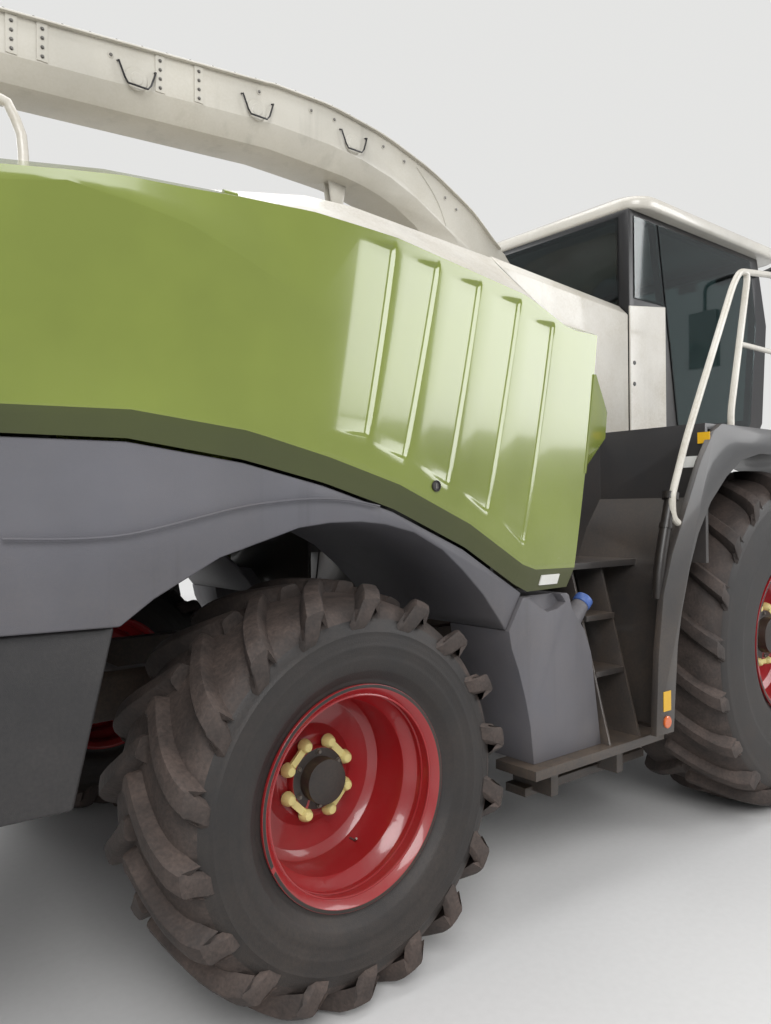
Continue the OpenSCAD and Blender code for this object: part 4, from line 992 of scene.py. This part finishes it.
def spoke(turn):
    """A unit arrow from a wheel's axle, turned from straight up towards the front."""
    return Vector((math.sin(turn), 0, math.cos(turn)))


class HARVESTER_OT_wheel_trim(bpy.types.Operator):
    """Makes the rims' nuts, hub caps, rolled rings and nut links"""
    bl_idname = "harvester.wheel_trim"
    bl_label = "Wheel trim"

    def execute(self, context):
        for wheel in WHEELS:
            for side, label in SIDES:
                out = Vector((0, side, 0))
                disc = Vector((wheel.x, side * (wheel.y + wheel.disc), wheel.radius))
                name = wheel.end + "_" + label
                self.rim(wheel, out, disc, "rim_" + name)
                bm = bmesh.new()
                self.nuts(bm, wheel, out, disc)
                self.hub(bm, wheel, out, disc)
                self.rings(bm, wheel, out, disc)
                finished(bm, "wheel_trim_" + name, "wheel_" + name, ("steel", "yellow_plastic", "red_paint"))
        return {"FINISHED"}

    def rim(self, wheel, out, disc, node):
        """The rim, whose hub cap is black."""

        def pick(middle):
            away = middle - disc
            on_cap = math.hypot(away.x, away.z) < wheel.hub * 0.74 and (middle.y - disc.y) * out.y > 0.038
            return 1 if on_cap else 0

        soften(node, ("red_paint", "black_trim", "steel"), 0.003, pick=pick)

    def nuts(self, bm, wheel, out, disc):
        """A collar and a cap on each stud's nut, and links that join the nuts in pairs."""
        spots = [disc + spoke(2 * math.pi * (k + 0.5) / wheel.studs) * (wheel.hub + 0.022)
                 for k in range(wheel.studs)]
        add_parts(bm, STUD_COLLAR, [(spot, out) for spot in spots], 20, "steel", 0)
        add_parts(bm, NUT_CAP, [(spot, out) for spot in spots], 24, "yellow_plastic", 1)
        for pair in zip(spots[::2], spots[1::2]):
            across = (pair[1] - pair[0]).normalized().cross(out) * 0.013
            add_block(bm, [p + across * s + out * high for p in pair for s in (-1, 1)
                           for high in (0.028, 0.040)], 1)

    def hub(self, bm, wheel, out, disc):
        """The hub's cap bolts and the valve."""
        spots = [disc + spoke(2 * math.pi * k / 6) * wheel.hub * 0.87 + out * 0.040 for k in range(6)]
        add_bolts(bm, [(spot, out) for spot in spots], 0.008, 0.010, 0)
        valve = disc + VALVE_WAY * (wheel.rim_radius - 0.075)
        path = [valve + out * 0.02, valve + out * 0.05, valve + out * 0.075 - VALVE_WAY * 0.02]
        add_wire(bm, path, 0.004, 10, 0)

    def rings(self, bm, wheel, out, disc):
        """Rolled rings in the rim's barrel."""
        for inwards in (0.012, 0.055):
            middle = disc + out * (wheel.rim_width / 2 - inwards - wheel.disc)
            path = [middle + spoke(2 * math.pi * k / RING_STEPS) * (wheel.rim_radius - 0.040)
                    for k in range(RING_STEPS + 1)]
            add_wire(bm, path, 0.0045, 8, 2)


# Spout trim

# The duct's top edge, low edge and half width along x.
SPOUT_TOP = ((-2.93, 3.622), (-0.413, 3.839), (-0.05, 3.843), (0.314, 3.793), (0.666, 3.689), (0.999, 3.534),
             (1.304, 3.330))
SPOUT_LOW = ((-3.038, 3.467), (-0.396, 3.651), (-0.05, 3.645), (0.162, 3.625), (0.368, 3.579),
             (0.563, 3.508), (0.743, 3.415), (0.858, 3.351))
SPOUT_HALF = ((-3.05, 0.163), (-0.41, 0.190))
# The flange's section, as distances from the duct's upper corner.
FLANGE = ((-0.004, 0.004), (0.020, 0.004), (0.022, 0.001), (0.022, -0.004), (0.020, -0.005), (-0.004, -0.005))
FLANGE_START = -2.9
FLANGE_STEP = 0.05
FLANGE_STATIONS = 84
FLANGE_BOLTS = (-2.8, 1.2)
DOUBLERS = (-1.62, -1.50, -0.99, -0.80)
FLANK_BOLTS = ((-1.214, 3.709), (-0.477, 3.785), (-0.169, 3.788), (-0.022, 3.786), (0.312, 3.738),
               (0.465, 3.696), (0.784, 3.568), (0.875, 3.518))
LIDS = ((-1.10, 3.640), (-0.49, 3.690), (0.10, 3.690))
LID = ((0, 0.052), (0.004, 0.052), (0.007, 0.048), (0.007, 0.030), (0.010, 0.026))
# Half of a lid's wire handle from its end: away from the lid's middle, out from the flank, and up.
HANDLE = ((0.085, 0.001, 0.055), (0.085, 0.018, 0.050), (0.060, 0.024, -0.020), (0.045, 0.024, -0.040))
WEAR_TOP = (0.564, 3.688)
WEAR_LOW = (0.790, 3.400)
WEAR_BOW = 0.035
WEAR_STEPS = 12


def spout_half(x):
    return along(SPOUT_HALF, x)


def spout_top(x):
    """The top edge: straight to the bend, and round it a smooth curve that stays close to its chords."""
    straight = along(SPOUT_TOP, x)
    for i, (start, end) in enumerate(zip(SPOUT_TOP, SPOUT_TOP[1:])):
        if i > 0 and start[0] <= x <= end[0]:
            curve = spline(SPOUT_TOP, i, (x - start[0]) / (end[0] - start[0])).y
            return min(straight + 0.004, curve)
    return straight


class HARVESTER_OT_spout_trim(bpy.types.Operator):
    """Makes the spout's bolted flange, doubler strips, lids and wire handles"""
    bl_idname = "harvester.spout_trim"
    bl_label = "Spout trim"

    def execute(self, context):
        bm = bmesh.new()
        for side, _ in SIDES:
            out = Vector((0, side, 0))
            self.flange(bm, out, context.scene.harvester_shape.bolt_pitch)
            self.doublers(bm, out)
            self.flank_bolts(bm, out)
            self.lids(bm, out)
            self.wear_plate(bm, out)
        finished(bm, "spout_trim", BODY_OF["spout_boom"], ("spout_paint", "steel", "black_trim"))
        return {"FINISHED"}

    def flange(self, bm, out, pitch):
        """The rim along the duct's top corner with its row of bolts."""
        rings = []
        for k in range(FLANGE_STATIONS):
            x = FLANGE_START + FLANGE_STEP * k
            ring = [Vector((x, 0, spout_top(x) + up)) + out * (spout_half(x) + away) for away, up in FLANGE]
            rings.append([bm.verts.new(p) for p in ring])
        join_rings(bm, rings)
        spots = []
        x, end = FLANGE_BOLTS
        while x < end:
            slope = Vector((0.02, 0, spout_top(x + 0.01) - spout_top(x - 0.01))).normalized()
            up = Vector((-slope.z, 0, slope.x))
            spot = Vector((x, 0, spout_top(x) + 0.004)) + out * (spout_half(x) + 0.009)
            spots.append((spot, up))
            x += pitch
        add_bolts(bm, spots, 0.0055, 0.007, 1)

    def doublers(self, bm, out):
        """Strips over the duct's joints, with their bolts."""
        spots = []
        for x in DOUBLERS:
            top, low = spout_top(x) - 0.006, along(SPOUT_LOW, x)
            middle = Vector((x, 0, (low + 0.006 + top) / 2)) + out * (spout_half(x) + 0.002)
            add_box(bm, middle, (0.022, 0.003, (top - low - 0.006) / 2), 0)
            for k in range(4):
                z = low + 0.025 + (top - low - 0.05) * k / 3
                spots.append((Vector((x, 0, z)) + out * (spout_half(x) + 0.005), out))
        add_bolts(bm, spots, 0.006, 0.007, 1)

    def flank_bolts(self, bm, out):
        """Round-headed bolts and their washers under the flange."""
        spots = [(Vector((x, 0, min(z, spout_top(x) - 0.03))) + out * spout_half(x), out)
                 for x, z in FLANK_BOLTS]
        add_parts(bm, [(0, 0.013), (0.003, 0.013)], spots, 16, "spout_paint", 0)
        add_parts(bm, [(0.003, 0.008), (0.006, 0.0075), (0.009, 0.004)], spots, 14, "steel", 1)

    def lids(self, bm, out):
        """Lids on the flank, each with a wire handle."""
        bow = [(-x, y, z) for x, y, z in HANDLE] + list(reversed(HANDLE))
        for x, z in LIDS:
            spot = Vector((x, 0, z)) + out * spout_half(x)
            add_turned(bm, LID, spot, out, 36, 0)
            path = [spot + Vector((ahead, 0, up)) + out * away for ahead, away, up in bow]
            add_wire(bm, path, 0.0045, 8, 2)

    def wear_plate(self, bm, out):
        """The curved edge of the wear plate round the bend."""
        edge = []
        for k in range(WEAR_STEPS + 1):
            t = k / WEAR_STEPS
            x, z = (a + (b - a) * t for a, b in zip(WEAR_TOP, WEAR_LOW))
            x += WEAR_BOW * math.sin(math.pi * t)
            edge.append(Vector((x, 0, min(z, spout_top(x) - 0.01))) + out * (spout_half(x) + 0.001))
        add_wire(bm, edge, 0.004, 8, 0)


# Cab and body trim

# The corner panels on the cab's rear: their sides' x from the rear axle, and their low and high edges.
CORNER_REAR = 2.372
CORNER_FRONT = {1: 2.630, -1: 2.745}
CORNER_LOW = 2.126
CORNER_HIGH = 2.880
CORNER_SLOPE = 0.13
CORNER_BUTTONS = ((2.411, 2.552), (2.409, 2.429))
CORNER_Y = 0.960
# The rear fender's pressed crease, the filler pipe and the rear tube loop, as x and z.
FENDER_CREASE = ((-1.967, 1.635), (-1.800, 1.630), (-1.660, 1.636), (-1.530, 1.660), (-1.302, 1.711),
                 (-1.157, 1.731), (-1.011, 1.741), (-0.873, 1.736), (-0.742, 1.716))
FILLER_PIPE = ((0.900, 1.745), (0.885, 1.690), (0.855, 1.600), (0.825, 1.500), (0.800, 1.400), (0.790, 1.285))
FILLER_NECK = ((0.908, 1.775), (0.900, 1.742))
FILLER_RING = ((0.864, 1.628), (0.858, 1.608))
TUBE_LOOP = ((-2.410, 2.676), (-2.410, 2.900), (-2.395, 2.945), (-2.350, 2.960), (-1.890, 2.960),
             (-1.845, 2.948), (-1.822, 2.905), (-1.805, 2.861), (-1.800, 2.800), (-1.800, 2.708))
CREASE_Y = 1.4545
FILLER_Y = 1.580
LOOP_Y = 1.040
# Blank labels on the skirt and the wall: x, side and z of the middle, half sizes and material slot.
LABELS = (
    ((0.795, 1.621, 0.820), (0.030, 0.0015, 0.045), 0),
    ((1.1985, 1.585, 2.0475), (0.002, 0.032, 0.0275), 0),
    ((1.1985, 1.520, 1.9325), (0.002, 0.045, 0.0275), 3))


class HARVESTER_OT_body_trim(bpy.types.Operator):
    """Makes the cab's corner panels, the labels, reflectors, filler pipe, fender crease and tube loops"""
    bl_idname = "harvester.body_trim"
    bl_label = "Body trim"

    def execute(self, context):
        bm = bmesh.new()
        for side, _ in SIDES:
            self.corner_panel(bm, side)
        finished(bm, "corner_panels", BODY_OF["cab_shell"], ("pale_paint", "black_trim"))
        bm = bmesh.new()
        for side, _ in SIDES:
            self.body_side(bm, side)
        finished(bm, "body_trim", BODY_OF["frame"], (
            "label_yellow", "lens_orange", "pale_paint", "label_white", "black_trim", "grey_plastic"))
        return {"FINISHED"}

    def corner_panel(self, bm, side):
        """A pale plate with a narrow bevel, held by two black buttons."""
        front = CORNER_FRONT[side]
        peak = CORNER_HIGH + (front - 2.38) * CORNER_SLOPE
        corners = ((CORNER_REAR, CORNER_LOW), (CORNER_REAR, CORNER_HIGH), (front, peak), (front, CORNER_LOW))
        rings = []
        for y, bevel in ((CORNER_Y - 0.009, 0.0), (CORNER_Y - 0.003, 0.0), (CORNER_Y, 0.004)):
            ring = []
            for x, z in corners:
                x += bevel if x == CORNER_REAR else -bevel
                z += bevel if z == CORNER_LOW else -bevel
                ring.append(bm.verts.new((x + AXLE_X, side * y, z)))
            rings.append(ring)
        join_rings(bm, rings)
        for x, z in CORNER_BUTTONS:
            button = (x + AXLE_X, side * CORNER_Y, z)
            add_turned(bm, [(0, 0.013), (0.003, 0.012), (0.004, 0.007)], button, (0, side, 0), 20, 1)

    def body_side(self, bm, side):
        """What one side of the body carries, from the reflector to the tube loop."""

        def tube(path, y, radius, steps, slot):
            add_wire(bm, [(x, side * y, z) for x, z in path], radius, steps, slot)

        reflector = (0.793, side * 1.620, 0.725)
        add_turned(bm, [(0, 0.028), (0.006, 0.028), (0.009, 0.024)], reflector, (0, side, 0), 32, 1)
        for (x, y, z), half, slot in LABELS:
            add_box(bm, (x, side * y, z), half, slot)
        tube(FILLER_PIPE, FILLER_Y, 0.026, 20, 4)
        tube(FILLER_NECK, FILLER_Y, 0.038, 28, 4)
        tube(FILLER_RING, FILLER_Y, 0.030, 24, 4)
        tube(smooth_curve(FENDER_CREASE, 4), CREASE_Y, 0.0035, 8, 5)
        tube(TUBE_LOOP, LOOP_Y, 0.016, 12, 2)


# Seat

CUSHION_STEPS = 10
SEAT_BACK = Matrix.Rotation(math.radians(-79), 3, "Y")
SEAT_FLAT = Matrix.Identity(3)


def add_cushion(bm, middle, half, turn, crown):
    """A padded block: its six sides are bulged squares that meet, and its upper face swells by the crown."""
    steps = [2 * i / CUSHION_STEPS - 1 for i in range(CUSHION_STEPS + 1)]
    for axis in range(3):
        for end in (-1, 1):
            grid = []
            for u in steps:
                row = []
                for v in steps:
                    p = Vector((0, 0, 0))
                    p[axis], p[(axis + 1) % 3], p[(axis + 2) % 3] = end, u, v
                    p /= sum(abs(c) ** 5 for c in p) ** 0.2
                    swell = 1 + crown * (1 - p.x * p.x) * (1 - p.y * p.y)
                    p = Vector((p.x * half[0], p.y * half[1], p.z * half[2] * swell))
                    row.append(bm.verts.new(turn @ p + Vector(middle)))
                grid.append(row)
            for a, b in zip(grid, grid[1:]):
                for k in range(CUSHION_STEPS):
                    bm.faces.new((a[k], a[k + 1], b[k + 1], b[k])[::end])


class HARVESTER_OT_seat(bpy.types.Operator):
    """Makes the padded driver's seat"""
    bl_idname = "harvester.seat"
    bl_label = "Seat"

    def execute(self, context):
        bm = bmesh.new()
        add_cushion(bm, (2.190, 0, 2.415), (0.250, 0.235, 0.062), SEAT_FLAT, 0.10)
        add_cushion(bm, (1.935, 0, 2.720), (0.270, 0.195, 0.052), SEAT_BACK, 0.15)
        add_cushion(bm, (1.868, 0, 3.015), (0.060, 0.120, 0.040), SEAT_BACK, 0.10)
        for side, _ in SIDES:
            add_cushion(bm, (2.190, side * 0.205, 2.425), (0.240, 0.050, 0.066), SEAT_FLAT, 0.05)
            add_cushion(bm, (1.945, side * 0.190, 2.730), (0.250, 0.045, 0.055), SEAT_BACK, 0.05)
        bmesh.ops.remove_doubles(bm, verts=bm.verts, dist=1e-4)
        for side, _ in SIDES:
            add_box(bm, (2.095, side * 0.235, 2.580), (0.125, 0.022, 0.020), 1)
        add_box(bm, (2.140, 0, 2.230), (0.140, 0.160, 0.130), 1)
        ob = finished(bm, "seat_cushions", BODY_OF["seat"], ("seat_cloth", "black_trim"), "seat", smooth=50)
        return {"FINISHED"}


# What the user can change


def colour_property(name, description, default):
    return FloatVectorProperty(
        name=name, description=description, subtype="COLOR", min=0, max=1, default=default)


class HarvesterColours(bpy.types.PropertyGroup):
    """Paint and plastic colours"""
    panel: colour_property("Side panels", "Paint of the lifting side panels", srgb(112, 124, 48))
    cover: colour_property("Covers", "Paint of the hoods and roof", srgb(205, 202, 194))
    plastic: colour_property("Fenders", "Plastic of the fenders, boxes and tanks", srgb(84, 84, 90))
    rim: colour_property("Rims", "Paint of the wheel rims", srgb(146, 8, 20))
    cap: colour_property("Filler cap", "Plastic of the filler cap", srgb(50, 84, 150))


class HarvesterShape(bpy.types.PropertyGroup):
    """Sizes of the pieces made here"""
    louvre_depth: FloatProperty(
        name="Louvre depth", description="How deep the side panels' louvres are pressed",
        default=0.012, min=0.004, max=0.02, unit="LENGTH")
    bolt_pitch: FloatProperty(
        name="Bolt pitch", description="Distance between the bolts of the spout's flange",
        default=0.115, min=0.05, max=0.3, unit="LENGTH")


class HarvesterStage(bpy.types.PropertyGroup):
    """Camera and light"""
    lens: FloatProperty(
        name="Lens", description="Focal length of the camera",
        default=27.77, min=10, max=100, unit="CAMERA")
    light: FloatProperty(
        name="Light", description="Strength of all lamps together",
        default=1.0, min=0.0, max=4.0, subtype="FACTOR")


class HARVESTER_PT_panel(bpy.types.Panel):
    """Lists the pieces"""
    bl_label = "Forage harvester"
    bl_idname = "HARVESTER_PT_panel"
    bl_space_type = "VIEW_3D"
    bl_region_type = "UI"
    bl_category = "Harvester"

    def draw(self, context):
        scene = context.scene
        for group in (scene.harvester_colours, scene.harvester_shape, scene.harvester_stage):
            for key in group.__annotations__:
                self.layout.prop(group, key)
        for piece in PIECES:
            self.layout.operator(piece.bl_idname)


PIECES = (
    HARVESTER_OT_stage, HARVESTER_OT_tyres, HARVESTER_OT_bodywork, HARVESTER_OT_side_panels,
    HARVESTER_OT_wheel_trim, HARVESTER_OT_spout_trim, HARVESTER_OT_body_trim, HARVESTER_OT_seat)
CLASSES = (HarvesterColours, HarvesterShape, HarvesterStage, *PIECES, HARVESTER_PT_panel)


def register():
    for cls in CLASSES:
        bpy.utils.register_class(cls)
    bpy.types.Scene.harvester_colours = PointerProperty(type=HarvesterColours)
    bpy.types.Scene.harvester_shape = PointerProperty(type=HarvesterShape)
    bpy.types.Scene.harvester_stage = PointerProperty(type=HarvesterStage)


def unregister():
    del bpy.types.Scene.harvester_colours
    del bpy.types.Scene.harvester_shape
    del bpy.types.Scene.harvester_stage
    for cls in reversed(CLASSES):
        bpy.utils.unregister_class(cls)


def main():
    register()
    make_materials(bpy.context.scene.harvester_colours)
    for piece in PIECES:
        group, action = piece.bl_idname.split(".")
        getattr(getattr(bpy.ops, group), action)()


if __name__ == "__main__":
    main()
